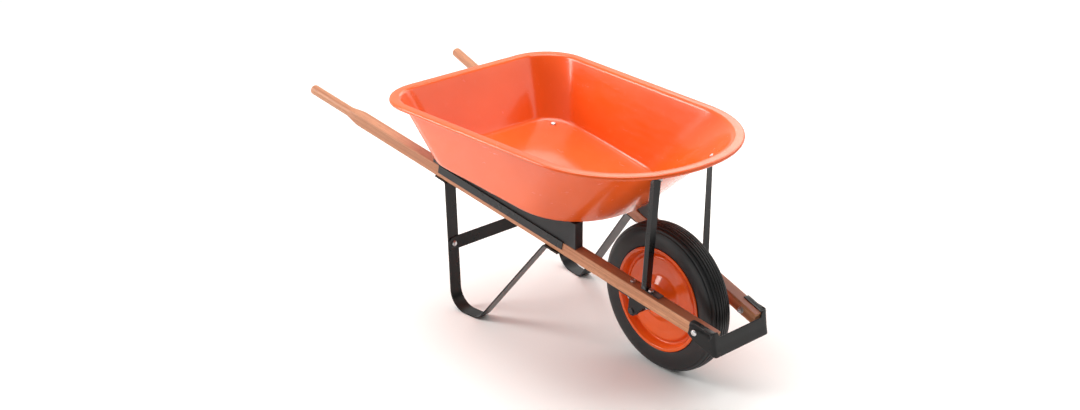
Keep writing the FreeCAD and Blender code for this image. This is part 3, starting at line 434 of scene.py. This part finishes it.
def moulded(name, colour, roughness):
    """Plain moulded plastic with a faint matt grain."""
    finish = Finish(name, Specular_IOR_Level=0.5)
    place = finish.coords()
    cloud = finish.noise(place, 90, 4.0)
    darker = tuple(value * 0.8 for value in colour)
    finish.set("Base Color", finish.mix(finish.ramp(cloud, (0.3, 0.0), (0.7, 1.0)), colour, darker))
    rough = finish.node("MapRange", Value=cloud, To_Min=roughness * 0.85, To_Max=roughness * 1.15)
    finish.set("Roughness", rough.outputs["Result"])
    finish.bump((finish.noise(place, 1400, 2.0), 0.2, 0.08))
    return finish.material


TRAY_ENAMEL = enamel("tray_enamel", (0.84, 0.115, 0.014), (0.75, 0.09, 0.009),
                     (0.92, 0.36, 0.17), 0.20)
RIM_ENAMEL = enamel("rim_enamel", (0.84, 0.11, 0.010), (0.76, 0.09, 0.007),
                    (0.90, 0.30, 0.12), 0.19)
HARDWOOD = {word: hardwood(f"hardwood_{word}", (0.31 * side, 0.17, 0.05 * side))
            for word, side in SIDES.items()}
BLACK_STEEL = black_coat("black_steel", 0.006, 0.29, 1100)
BLACK_WOOD = black_coat("black_painted_wood", 0.024, 0.46, 260, (1, 14, 14))
ZINC = zinc("zinc_steel")
RUBBER = rubber_finish("rubber")
PLASTIC = moulded("black_plastic", (0.02, 0.02, 0.02), 0.45)
NYLON = moulded("nylon", (0.78, 0.75, 0.68), 0.4)


# ---------------------------------------------------------------- tray

# Half outlines seen from above, in millimetres from the axle: rear end, half width there,
# corner radius, start of the front curve, half width there, nose and the curve's power.
RIM_OUTLINE = (-830.7, 333.9, 135, -162, 308.7, 121.7, 2.15)
FLOOR_OUTLINE = (-720, 253, 100, -334, 226, -151.4, 2.22)
RIM_HEIGHT = 613.5
BEAD = 6.0
LIP = 24.0
SHEET = 1.2
FLOOR_HEIGHT, FLOOR_REAR, FLOOR_SLOPE = 447.6, -711, 0.105
FLOOR_EDGE = 13.0  # width of the soft bend round the floor
UPPER_EDGE = 8.0  # width of the soft bend under the lip
WALL_RUN = 220  # nominal length of the wall, which turns those widths into shares of it
FLOOR_MIDDLE = -430  # the floor's middle, behind the axle


def shrunk(values, inset):
    """An outline's measures, moved inwards by an even inset."""
    rear, half_width, corner, middle, middle_half, nose, power = values
    return (rear + inset, half_width - inset, corner - inset, middle, middle_half - inset,
            nose - inset, power)


def tray_ring(values, level):
    """A closed ring of points round an outline. Level is a height or a function of x."""
    rear, half_width, corner, middle, middle_half, nose, power = values

    def taper(x):
        return middle_half + (x - middle) * (middle_half - half_width) / (middle - rear)

    half = []
    start = rear + corner
    corner_y = taper(rear) - corner
    for step in range(6):
        half.append((rear, corner_y * step / 6))
    for step in range(14):
        angle = math.pi - step / 14 * math.pi / 2
        x = start + corner * math.cos(angle)
        half.append((x, taper(x) - corner + corner * math.sin(angle)))
    for step in range(14):
        x = start + (middle - start) * step / 14
        half.append((x, taper(x)))
    for step in range(45):
        angle = math.pi / 2 * (1 - step / 44)
        x = middle + (nose - middle) * abs(math.cos(angle)) ** (2 / power)
        half.append((x, taper(x) * abs(math.sin(angle)) ** (2 / power)))
    ring = half + [(x, -y) for x, y in reversed(half[1:-1])]
    return [Vector((x, y, level(x) if callable(level) else level)) for x, y in ring]


def floor_level(x):
    return FLOOR_HEIGHT - FLOOR_SLOPE * (x - FLOOR_REAR)


def between(first, second, share):
    return [a.lerp(b, share) for a, b in zip(first, second)]


def curve_rings(first, corner, last, steps):
    """Rings along a soft bend from the first ring to the last, pulled to the corner ring."""
    rings = []
    for step in range(steps + 1):
        share = step / steps
        rings.append(between(between(first, corner, share), between(corner, last, share), share))
    return rings


def build_tray():
    """Floor, soft floor edge, wall, soft upper edge, flat lip and rolled bead, in one skin."""
    top = RIM_HEIGHT + BEAD - SHEET
    floor = tray_ring(FLOOR_OUTLINE, floor_level)
    middle = Vector((FLOOR_MIDDLE, 0, floor_level(FLOOR_MIDDLE)))
    inner = []
    for point in floor:
        inward = Vector((middle.x - point.x, -point.y, 0)).normalized() * FLOOR_EDGE
        place = point + inward
        inner.append(Vector((place.x, place.y, floor_level(place.x))))
    corner = tray_ring(shrunk(RIM_OUTLINE, LIP), top)
    lip_start = tray_ring(shrunk(RIM_OUTLINE, LIP - 7), top)
    wall_start = between(floor, corner, FLOOR_EDGE / WALL_RUN)
    wall_end = between(corner, floor, UPPER_EDGE / WALL_RUN)
    rings = [between(inner, [middle] * len(inner), share) for share in (0.97, 0.8, 0.6, 0.4, 0.2)]
    rings += curve_rings(inner, floor, wall_start, 8)
    rings += [between(wall_start, wall_end, step / 9) for step in range(1, 9)]
    rings += curve_rings(wall_end, corner, lip_start, 7)
    lip_end = tray_ring(RIM_OUTLINE, top)
    rings.append(between(lip_start, lip_end, 0.5))
    reach = BEAD - SHEET
    for step in range(23):
        angle = math.radians(90 - step * 14.3)
        values = shrunk(RIM_OUTLINE, -reach * math.cos(angle))
        rings.append(tray_ring(values, RIM_HEIGHT + reach * math.sin(angle)))
    place = Matrix.Translation((AXLE.x, 0, 0))
    scaled = [[point * MM for point in ring] for ring in rings]
    bm = bmesh.new()
    rows = skin(bm, scaled)
    bm.faces.new(rows[0])
    tray = from_bmesh("tray_pressed", bm, place, sharp=60)
    lowest = min(tray.data.polygons, key=lambda face: face.center.z + abs(face.center.x + 0.43))
    if lowest.normal.z > 0:
        tray.data.flip_normals()
    wall = tray.modifiers.new("sheet", "SOLIDIFY")
    wall.thickness = SHEET * MM
    wall.offset = -1
    wall.use_even_offset = True
    return tray


finish_piece(build_tray(), "frame", "tray_enamel", TRAY_ENAMEL, "tray")


# ---------------------------------------------------------------- handles

GRIP_RADIUS = MOUNTS["grip_left"]["dims"]["r_mm"]
SHOULDER = 52.0  # length over which the bar swells out of its grip
GRIP_DOME = 9.0  # radius of the grip's round end
EASED_CORNER = 3.2  # radius along the bar's four edges


def bar_section(half, corner):
    """A square with round corners as a ring of (y, z) pairs in millimetres, from one edge."""
    ring = []
    for quarter in range(4):
        turn = math.pi / 2 * quarter
        for step in range(9):
            angle = turn + math.pi / 2 * step / 8
            y = corner * math.cos(angle)
            z = corner * math.sin(angle)
            y += (half - corner) * (1 if quarter in (0, 3) else -1)
            z += (half - corner) * (1 if quarter in (0, 1) else -1)
            ring.append((y, z))
    return ring


def build_handle(word):
    """A square bar with eased edges that swells out of a round grip with a domed end."""
    low, high = span(f"handle_{word}", HANDLE[word])
    rear, front = low.x / MM, high.x / MM
    half = high.y / MM
    grip_end = rear + MOUNTS["grip_left"]["dims"]["length_mm"] + 7.5
    stations = []
    dome = GRIP_DOME
    for step in range(9):
        angle = math.pi / 2 * step / 8
        radius = GRIP_RADIUS - dome + dome * math.sin(angle)
        stations.append((rear + dome - dome * math.cos(angle), radius, radius))
    for step in range(1, 13):
        stations.append((rear + dome + (grip_end - rear - dome) * step / 12, GRIP_RADIUS,
                         GRIP_RADIUS))
    for step in range(1, 21):
        share = step / 20
        ease = share * share * (3 - 2 * share)
        width = GRIP_RADIUS + (half - GRIP_RADIUS) * ease
        corner = GRIP_RADIUS + (EASED_CORNER - GRIP_RADIUS) * share ** 0.7
        stations.append((grip_end + SHOULDER * share, width, min(corner, width)))
    full = grip_end + SHOULDER
    for step in range(1, 41):
        stations.append((full + (front - 1.5 - full) * step / 40, half, EASED_CORNER))
    stations += [(front - 0.5, half - 0.45, 3.0), (front, half - 1.5, 2.4)]
    rings = [[Vector((x, y, z)) * MM for y, z in bar_section(width, corner)]
             for x, width, corner in stations]
    bm = bmesh.new()
    rows = skin(bm, rings)
    for row in (rows[0], rows[-1]):
        bm.faces.new(row)
    return even_shading(from_bmesh(f"handle_{word}_bar", bm, HANDLE[word]))


for word in SIDES:
    finish_piece(build_handle(word), "frame", "hardwood", HARDWOOD[word], f"handle_{word}")


# ---------------------------------------------------------------- wheel

# Grooves and ribs round the tread, in millimetres: the grooves' places across it, their width
# and depth, the pitch from one to the next, and half of the width that they cover.
TREAD_GROOVES = (-31.6, -23.7, -15.8, -7.9, 0.0, 7.9, 15.8, 23.7, 31.6)
GROOVE_WIDTH, GROOVE_DEPTH = 3.4, 4.4
RIB = 7.9
TREAD_HALF = 34.2
BELLY_RADIUS = 170.0  # where the tyre is widest
# One bead of the tyre, from the inside out: radius and distance from the middle.
TYRE_BEAD = ((146.0, 22.0), (137.0, 22.0), (136.3, 30.4), (144.9, 30.6), (146.2, 33.6),
             (147.5, 35.0))
SIDEWALL_FALLS = (20, 16, 12, 8, 4)  # steps below the widest place
# One wall of a groove from rib to floor: distance from the groove's middle, and depth.
HALF_GROOVE = GROOVE_WIDTH / 2
GROOVE_WALL = ((HALF_GROOVE + 0.55, 0.0), (HALF_GROOVE + 0.15, 0.25), (HALF_GROOVE - 0.25, 0.9),
               (HALF_GROOVE - 0.7, GROOVE_DEPTH - 0.5), (HALF_GROOVE - 1.1, GROOVE_DEPTH))


def crown(y, half, belly, radius, power=2.6):
    """The tyre's outer radius at a place across its tread."""
    return belly + (radius - belly) * (1 - min(abs(y) / half, 1) ** power) ** (1 / power)


def build_tyre():
    """A tyre with smooth walls and ribs that run round its tread."""
    low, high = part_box("tyre")
    radius = (high.z - low.z) / 2 / MM
    half = (high.y - low.y) / 2 / MM
    belly = BELLY_RADIUS
    profile = list(TYRE_BEAD)
    for fall in SIDEWALL_FALLS:
        profile.append((belly - fall, half - 3.5 * (fall / 24) ** 2))
    shoulder = []
    for step in range(9):
        y = half * math.cos(math.pi / 2 * step / 22)
        shoulder.append((crown(y, half, belly, radius), y))
    profile += [(r, y) for r, y in shoulder if y > TREAD_HALF + 0.2]
    tread = [(crown(TREAD_HALF, half, belly, radius), TREAD_HALF)]
    groove = list(GROOVE_WALL) + [(-offset, depth) for offset, depth in reversed(GROOVE_WALL)]
    for centre in reversed(TREAD_GROOVES):
        for offset, depth in groove:
            y = centre + offset
            tread.append((crown(y, half, belly, radius) - depth, y))
        middle_y = centre - RIB / 2
        if middle_y > -TREAD_HALF:
            tread.append((crown(middle_y, half, belly, radius), middle_y))
    tread.append((crown(TREAD_HALF, half, belly, radius), -TREAD_HALF))
    profile += tread
    profile += [(r, -y) for r, y in reversed(shoulder) if y > TREAD_HALF + 0.2]
    for fall in reversed(SIDEWALL_FALLS):
        profile.append((belly - fall, -half + 3.5 * (fall / 24) ** 2))
    profile += [(r, -y) for r, y in reversed(TYRE_BEAD)]
    for step in range(1, 16):
        angle = math.pi - step / 16 * math.pi
        profile.append((166 + (radius - 14 - 166) * math.sin(angle), 28 * math.cos(angle)))
    profile = [(r * MM, y * MM) for r, y in profile]
    return turned("tyre_ribbed", profile, axle_place(), segments=200, sharp=50)


RIM_SHEET = 1.6
# Half of the rim as its sheet's middle line: radius, distance from the middle, bend radius.
RIM_LINE = (
    (134.4, 0.0, 0), (134.4, 27.6, 2.5), (137.4, 31.6, 2), (143.0, 32.6, 3.2), (144.2, 36.0, 1.1),
    (136.5, 36.0, 2.0), (131.5, 26.0, 3), (128.5, 14.5, 4.0), (121.5, 14.5, 4.0),
    (115.0, 23.0, 7), (92.0, 21.0, 26), (66.0, 22.0, 18), (45.0, 38.0, 12), (30.0, 44.5, 8),
    (19.4, 46.0, 0),
)


def build_rim(word):
    """A pressed half: well, curled flange, groove, dished disc and hub cone."""
    side = SIDES[word]
    line = rounded([(r, y * side, bend) for r, y, bend in RIM_LINE], steps=6, closed=False)
    rim = turned(f"rim_{word}_pressed", line, axle_place(), segments=160, closed=False, sharp=75)
    sheet = rim.modifiers.new("sheet", "SOLIDIFY")
    sheet.thickness = RIM_SHEET * MM
    sheet.offset = 0
    sheet.use_even_offset = True
    return rim


finish_piece(build_tyre(), "wheel", "rubber", RUBBER, "tyre")
for word in SIDES:
    finish_piece(build_rim(word), "wheel", "rim_enamel", RIM_ENAMEL, f"rim_{word}")
    finish_piece(softened(f"hub_bushing_{word}_moulded", f"hub_bushing_{word}", 0.4), "wheel",
                 "nylon", NYLON, f"hub_bushing_{word}")
finish_piece(softened("hub_tube_turned", "hub_tube", 0.6), "wheel", "rim_enamel", RIM_ENAMEL,
             "hub_tube")
NODES["inner_tube"].data.materials.clear()
NODES["inner_tube"].data.materials.append(RUBBER)


# ---------------------------------------------------------------- bolts and nuts

WASHER = 0.0012  # thickness of the washer under each nut, in metres


def islands(node):
    """The node's separate solids, each as a list of its points."""
    bm = bmesh.new()
    bm.from_mesh(NODES[node].data)
    bmesh.ops.remove_doubles(bm, verts=bm.verts, dist=2e-6)
    left = set(bm.verts)
    found = []
    while left:
        group, edge = [], [left.pop()]
        while edge:
            vertex = edge.pop()
            group.append(vertex.co.copy())
            for link in vertex.link_edges:
                other = link.other_vert(vertex)
                if other in left:
                    left.remove(other)
                    edge.append(other)
        found.append(group)
    bm.free()
    return found


def centroid(points):
    total = Vector((0, 0, 0))
    for point in points:
        total += point
    return total / len(points)


class Bolt:
    """A CAD bolt with its nut, measured: place (Z out of the head), sizes in metres."""

    def __init__(self, points, nuts):
        middle = centroid(points)
        nut = min(nuts, key=lambda other: min((p - middle).length for p in other))
        nut_middle = centroid(nut)
        axis = (middle - nut_middle).normalized()
        heights = [(p - nut_middle).dot(axis) for p in points]
        reach = [((p - nut_middle) - axis * h).length for p, h in zip(points, heights)]
        bottom = min(heights)
        self.shank = max(r for r, h in zip(reach, heights) if h < bottom + 1e-4)
        head = [h for r, h in zip(reach, heights) if r > 1.3 * self.shank]
        self.head_radius = max(reach)
        self.under = min(head)
        self.head = max(heights) - self.under
        self.length = self.under - bottom
        nut_heights = [(p - nut_middle).dot(axis) for p in nut]
        self.nut_top = max(nut_heights) - self.under
        self.nut_bottom = min(nut_heights) - self.under
        from_middle = [p - nut_middle for p in nut]
        across = max((arm - axis * arm.dot(axis) for arm in from_middle), key=lambda arm: arm.length)
        self.nut_radius = across.length
        across.normalize()
        turn = Matrix((across, axis.cross(across), axis)).transposed().to_4x4()
        self.place = Matrix.Translation(nut_middle + axis * self.under) @ turn


def hex_body(name, radius, low, high, bore, place):
    """A six-sided body with turned-off corners and a bore."""
    bm = bmesh.new()
    flat = radius * math.cos(math.pi / 6)
    ease = (radius - flat) * 0.55
    steps = 8
    rings = []
    for height, limit in ((low, flat * 0.985), (low + ease, radius), (high - ease, radius),
                          (high, flat * 0.985)):
        ring = []
        for index in range(6 * steps):
            angle = math.pi / 3 * index / steps
            fold = (angle % (math.pi / 3)) - math.pi / 6
            ring.append(Vector((min(flat / math.cos(fold), limit), 0, 0)))
            ring[-1].rotate(Matrix.Rotation(angle, 3, "Z"))
            ring[-1].z = height
        rings.append(ring)
    tube_rings = []
    for height, wide in ((high, bore + 0.0006), (high - 0.0006, bore), (low + 0.0006, bore),
                         (low, bore + 0.0006)):
        tube_rings.append([Vector((wide * math.cos(a), wide * math.sin(a), height))
                           for a in (2 * math.pi * k / (6 * steps) for k in range(6 * steps))])
    skin(bm, rings + tube_rings + [rings[0]])
    return from_bmesh(name, bm, place, sharp=28)


def threaded(name, radius, low, high, place, pitch=0.00125):
    """A screw end: a real helical thread with a chamfered tip."""
    bm = bmesh.new()
    around, per_turn = 28, 6
    rows = max(2, int((high - low) / pitch * per_turn))
    rings = []
    for row in range(rows + 1):
        height = low + (high - low) * row / rows
        ring = []
        for index in range(around):
            angle = 2 * math.pi * index / around
            phase = (height / pitch - index / around) % 1
            depth = abs(phase - 0.5) * 2 * 0.55 * pitch
            tip = min(1.0, (height - low) / (0.9 * pitch))
            wide = (radius - depth) * (0.82 + 0.18 * tip)
            ring.append(Vector((wide * math.cos(angle), wide * math.sin(angle), height)))
        rings.append(ring)
    skin(bm, rings, caps=True)
    return from_bmesh(name, bm, place, sharp=80)


def round_head(name, bolt):
    """A low domed head with a rolled edge on a plain shank down to the thread."""
    radius, height = bolt.head_radius, bolt.head
    profile = [(0.0, height)]
    for step in range(1, 11):
        angle = math.pi / 2 * step / 10
        wide = radius * 0.93 * math.sin(angle) ** 0.9
        profile.append((wide, height * (0.3 + 0.7 * math.cos(angle))))
    profile += [(radius * 0.985, height * 0.2), (radius, height * 0.1), (radius * 0.985, 0.0),
                (bolt.shank, 0.0), (bolt.shank, bolt.nut_top), (0.0, bolt.nut_top)]
    return turned(name, profile, bolt.place, segments=40, closed=False)


def hex_head(name, bolt):
    """A six-sided head with a turned face on a plain shank."""
    head = hex_body(name + "_hex", bolt.head_radius, 0.0, bolt.head, bolt.shank, bolt.place)
    crown_face = [(0.0, bolt.head - 0.0003), (bolt.shank + 0.0007, bolt.head - 0.0003),
                  (bolt.shank + 0.0007, bolt.head - 0.0009), (bolt.shank, bolt.head - 0.0012),
                  (bolt.shank, bolt.nut_top), (0.0, bolt.nut_top)]
    core = turned(name + "_core", crown_face, bolt.place, segments=32, closed=False)
    return join(name, [head, core])


def washer_ring(name, inner, outer, low, high, place):
    ease = min(0.0003, (high - low) * 0.3)
    profile = [(inner, low), (outer - ease, low), (outer, low + ease), (outer, high - ease),
               (outer - ease, high), (inner, high)]
    return turned(name, profile, place, segments=48)


def build_fasteners(kind, hexagonal=False):
    """All bolts and all nuts of one kind, each group as one piece."""
    nuts = islands(f"{kind}_nuts")
    bolt_parts, nut_parts = [], []
    for number, points in enumerate(islands(f"{kind}_bolts")):
        bolt = Bolt(points, nuts)
        label = f"{kind}_{number}"
        bolt_parts.append((hex_head if hexagonal else round_head)(label, bolt))
        bolt_parts.append(threaded(label + "_thread", bolt.shank, -bolt.length,
                                   bolt.nut_top + 0.0002, bolt.place))
        nut_parts.append(hex_body(label + "_nut", bolt.nut_radius, bolt.nut_bottom,
                                  bolt.nut_top - WASHER, bolt.shank, bolt.place))
        nut_parts.append(washer_ring(label + "_washer", bolt.shank + 0.0002, bolt.nut_radius * 1.12,
                                     bolt.nut_top - WASHER, bolt.nut_top, bolt.place))
    for word, parts in (("bolts", bolt_parts), ("nuts", nut_parts)):
        finish_piece(join(f"{kind}_{word}_zinc", parts), "frame", "zinc_steel", ZINC,
                     f"{kind}_{word}")


for kind in ("tray", "guard", "brace", "strut"):
    build_fasteners(kind)
build_fasteners("bracket", hexagonal=True)


# ---------------------------------------------------------------- nose guard

EAR_FACE = 19.0  # middle of the ear's sheet from the handle's axis
GUARD_SHEET = 3.0
GUARD_EDGE = 1.1
GUARD_TOP, GUARD_BOTTOM = 233, 167  # heights of the front plate's edges at its corners
PLATE_TOP = 217  # height of its top edge between the corners
GUARD_CREASE = 191  # height where its slope changes
EAR_TOP = 18  # height over the handle's axis
# The ear's lower edge: places along the handle ahead of the axle, with heights off its axis.
EAR_LOW_EDGE = ((188, -15), (197, -20), (216, -27))
FLANGE_STATIONS = (186, 200, 220, 240, 256)  # places along the handle ahead of the axle
FLANGE_LEVEL = 19  # height of the flange's sheet over the handle's axis


def guard_front(height):
    """The front plate's middle line seen from the side: ahead of the axle, in millimetres."""
    if height > GUARD_CREASE:
        return 257.5 + (218 - height) * 0.16
    return 261.8 + (GUARD_CREASE - height) * 0.22


def build_guard():
    """A bent plate with rounded corners, an ear on each handle and a flange over its top."""
    place = HANDLE["left"]
    rows = []
    for step in range(15):
        share = step / 14
        drop = GUARD_TOP + (GUARD_BOTTOM - GUARD_TOP) * share
        plate = PLATE_TOP + (GUARD_BOTTOM - PLATE_TOP) * share
        ear = [place @ (Vector((station, EAR_FACE, EAR_TOP + (low - EAR_TOP) * share)) * MM)
               for station, low in EAR_LOW_EDGE]
        slope = (ear[2].y - ear[0].y) / (ear[2].x - ear[0].x)
        front = guard_front(drop) * MM + AXLE.x
        corner = Vector((front, ear[2].y + slope * (front - ear[2].x), drop * MM))
        cap = Vector((front, corner.y - 17 * MM, drop * MM))
        inner = Vector((guard_front(plate) * MM + AXLE.x, corner.y - 24 * MM, plate * MM))
        half = fillet(ear + [corner, cap, inner], [0, 0, 0, 9 * MM, 3 * MM, 0], 6)
        middle = Vector((inner.x, 0, inner.z))
        mirrored = [Vector((p.x, -p.y, p.z)) for p in reversed(half)]
        rows.append(half + [middle] + mirrored)
    bm = bmesh.new()
    skin(bm, rows, around=False)
    parts = [from_bmesh("guard_plate", bm, sharp=60)]
    for word, side in SIDES.items():
        flange_bm = bmesh.new()
        strips = []
        for station in FLANGE_STATIONS:
            arc = [Vector((station, side * EAR_FACE, 6)),
                   Vector((station, side * EAR_FACE, FLANGE_LEVEL)),
                   Vector((station, side * 2, FLANGE_LEVEL))]
            path = fillet(arc, [0, 3, 0], 6)
            strips.append([HANDLE[word] @ (point * MM) for point in path])
        skin(flange_bm, strips, around=False)
        parts.append(from_bmesh(f"guard_flange_{word}", flange_bm, sharp=60))
    for part in parts:
        thick = part.modifiers.new("sheet", "SOLIDIFY")
        thick.thickness = GUARD_SHEET * MM
        thick.offset = 0
        thick.use_even_offset = True
        edge = part.modifiers.new("edge", "BEVEL")
        edge.width = GUARD_EDGE * MM
        edge.segments = 2
        edge.angle_limit = math.radians(50)
    graph = bpy.context.evaluated_depsgraph_get()
    solid = []
    for part in parts:
        mesh = bpy.data.meshes.new_from_object(part.evaluated_get(graph))
        solid.append(new_object(part.name + "_solid", mesh, part.matrix_world.copy()))
        bpy.data.objects.remove(part)
    return join("nose_guard_bent", solid)


# ---------------------------------------------------------------- black steel and painted wood

for word in SIDES:
    finish_piece(softened(f"riser_{word}_block", f"riser_{word}", 1.6), "frame",
                 "black_painted_wood", BLACK_WOOD, f"riser_{word}")
    for node, edge in (("side_rail", 1.1), ("leg", 0.9), ("front_strut", 0.8),
                       ("axle_bracket", 0.7)):
        finish_piece(softened(f"{node}_{word}_coated", f"{node}_{word}", edge), "frame",
                     "black_steel", BLACK_STEEL, f"{node}_{word}")
finish_piece(softened("leg_brace_coated", "leg_brace", 0.6), "frame", "black_steel", BLACK_STEEL,
             "leg_brace")
finish_piece(build_guard(), "frame", "black_steel", BLACK_STEEL, "nose_guard")


# ---------------------------------------------------------------- axle

for node, edge in (("axle", 0.3), ("axle_spacer_left", 0.5), ("axle_spacer_right", 0.5),
                   ("axle_washers", 0.35), ("cotter_pins", 0.2)):
    finish_piece(softened(f"{node}_coated", node, edge, angle=50), "frame", "black_steel",
                 BLACK_STEEL, node)

for node, slot, material in (("valve_stem", "rubber", RUBBER),
                             ("valve_cap", "black_plastic", PLASTIC)):
    finish_piece(softened(f"{node}_moulded", node, 0.5, angle=50), "wheel", slot, material, node)


# ---------------------------------------------------------------- floor, lights and camera

LAMP_COLOUR = (1.0, 0.97, 0.93)
FLOOR_GREYS = ((0.0, (0.93, 0.93, 0.93)), (1.0, (0.96, 0.96, 0.96)))
# Name, place, target, width and height in metres, power in watts.
LIGHTS = (
    ("key", (-2.6, -2.6, 2.2), (-0.2, 0.0, 0.4), (1.6, 1.6), 92),
    ("top", (-0.6, 0.3, 4.2), (0.0, 0.0, 0.3), (3.2, 3.2), 170),
    ("back", (-1.5, 7.0, 4.0), (-1.5, 6.0, 0.0), (9.0, 5.0), 330),
    ("right", (4.5, 4.0, 4.0), (4.0, 4.0, 0.0), (4.0, 4.0), 100),
    ("front", (3.4, -1.2, 1.2), (0.3, 0.0, 0.3), (0.3, 1.6), 3),
)
# The camera that was fitted to the picture: azimuth, elevation and roll in degrees, its place
# from the axle in metres, and its lens and sensor in millimetres.
CAMERA_ANGLES = (48.6456, 23.9927, 0.036)
CAMERA_OFFSET = (2.3876, -2.5439, 1.8060)
CAMERA_LENS, CAMERA_SENSOR = 49.555, 36
# The sky's strength falls from the rear to the front, between these directions along X.
SKY_FALL = {"From Min": -0.9, "From Max": 0.9, "To Min": 0.8, "To Max": 0.03}


def build_floor():
    """A large, flat, pale floor."""
    bm = bmesh.new()
    rows = [[Vector((x * 0.5, y * 0.5, 0.0)) for x in range(-60, 61, 4)] for y in range(-60, 61, 4)]
    skin(bm, rows, around=False)
    floor = from_bmesh("studio_floor", bm)
    finish = Finish("floor_paint", Roughness=0.9, Specular_IOR_Level=0.1)
    tint = finish.noise(finish.coords(), 2.0, 2.0)
    finish.set("Base Color", finish.ramp(tint, *FLOOR_GREYS))
    floor.data.materials.append(finish.material)


def area_light(name, place, target, size, power):
    data = bpy.data.lights.new(name, "AREA")
    data.shape = "RECTANGLE"
    data.size, data.size_y = size
    data.energy = power
    data.color = LAMP_COLOUR
    obj = bpy.data.objects.new(name, data)
    bpy.context.scene.collection.objects.link(obj)
    obj.location = place
    obj.rotation_euler = (Vector(target) - Vector(place)).to_track_quat("-Z", "Y").to_euler()


def build_camera():
    """The camera at the picture's viewing angle."""
    data = bpy.data.cameras.new("camera")
    data.lens = CAMERA_LENS
    data.sensor_width = CAMERA_SENSOR
    camera = bpy.data.objects.new("camera", data)
    bpy.context.scene.collection.objects.link(camera)
    azimuth, elevation, roll = (math.radians(a) for a in CAMERA_ANGLES)
    back = Vector((math.sin(azimuth) * math.cos(elevation),
                   -math.cos(azimuth) * math.cos(elevation), math.sin(elevation)))
    turn = back.to_track_quat("Z", "Y").to_matrix() @ Matrix.Rotation(roll, 3, "Z")
    place = Matrix.Translation(AXLE + Vector(CAMERA_OFFSET))
    camera.matrix_world = place @ turn.to_4x4()
    bpy.context.scene.camera = camera


def build_world():
    """A white sky that is brighter behind the barrow than ahead of it."""
    world = bpy.data.worlds.new("studio")
    world.use_nodes = True
    sky = world.node_tree
    direction = sky.nodes.new("ShaderNodeTexCoord")
    parts = sky.nodes.new("ShaderNodeSeparateXYZ")
    fall = sky.nodes.new("ShaderNodeMapRange")
    for label, value in SKY_FALL.items():
        fall.inputs[label].default_value = value
    background = sky.nodes["Background"].inputs
    sky.links.new(direction.outputs["Generated"], parts.inputs["Vector"])
    sky.links.new(parts.outputs["X"], fall.inputs["Value"])
    sky.links.new(fall.outputs["Result"], background["Strength"])
    background["Color"].default_value = (1, 1, 1, 1)
    bpy.context.scene.world = world


build_floor()
build_camera()
for light in LIGHTS:
    area_light(*light)
build_world()
bpy.context.scene.view_settings.view_transform = "Standard"
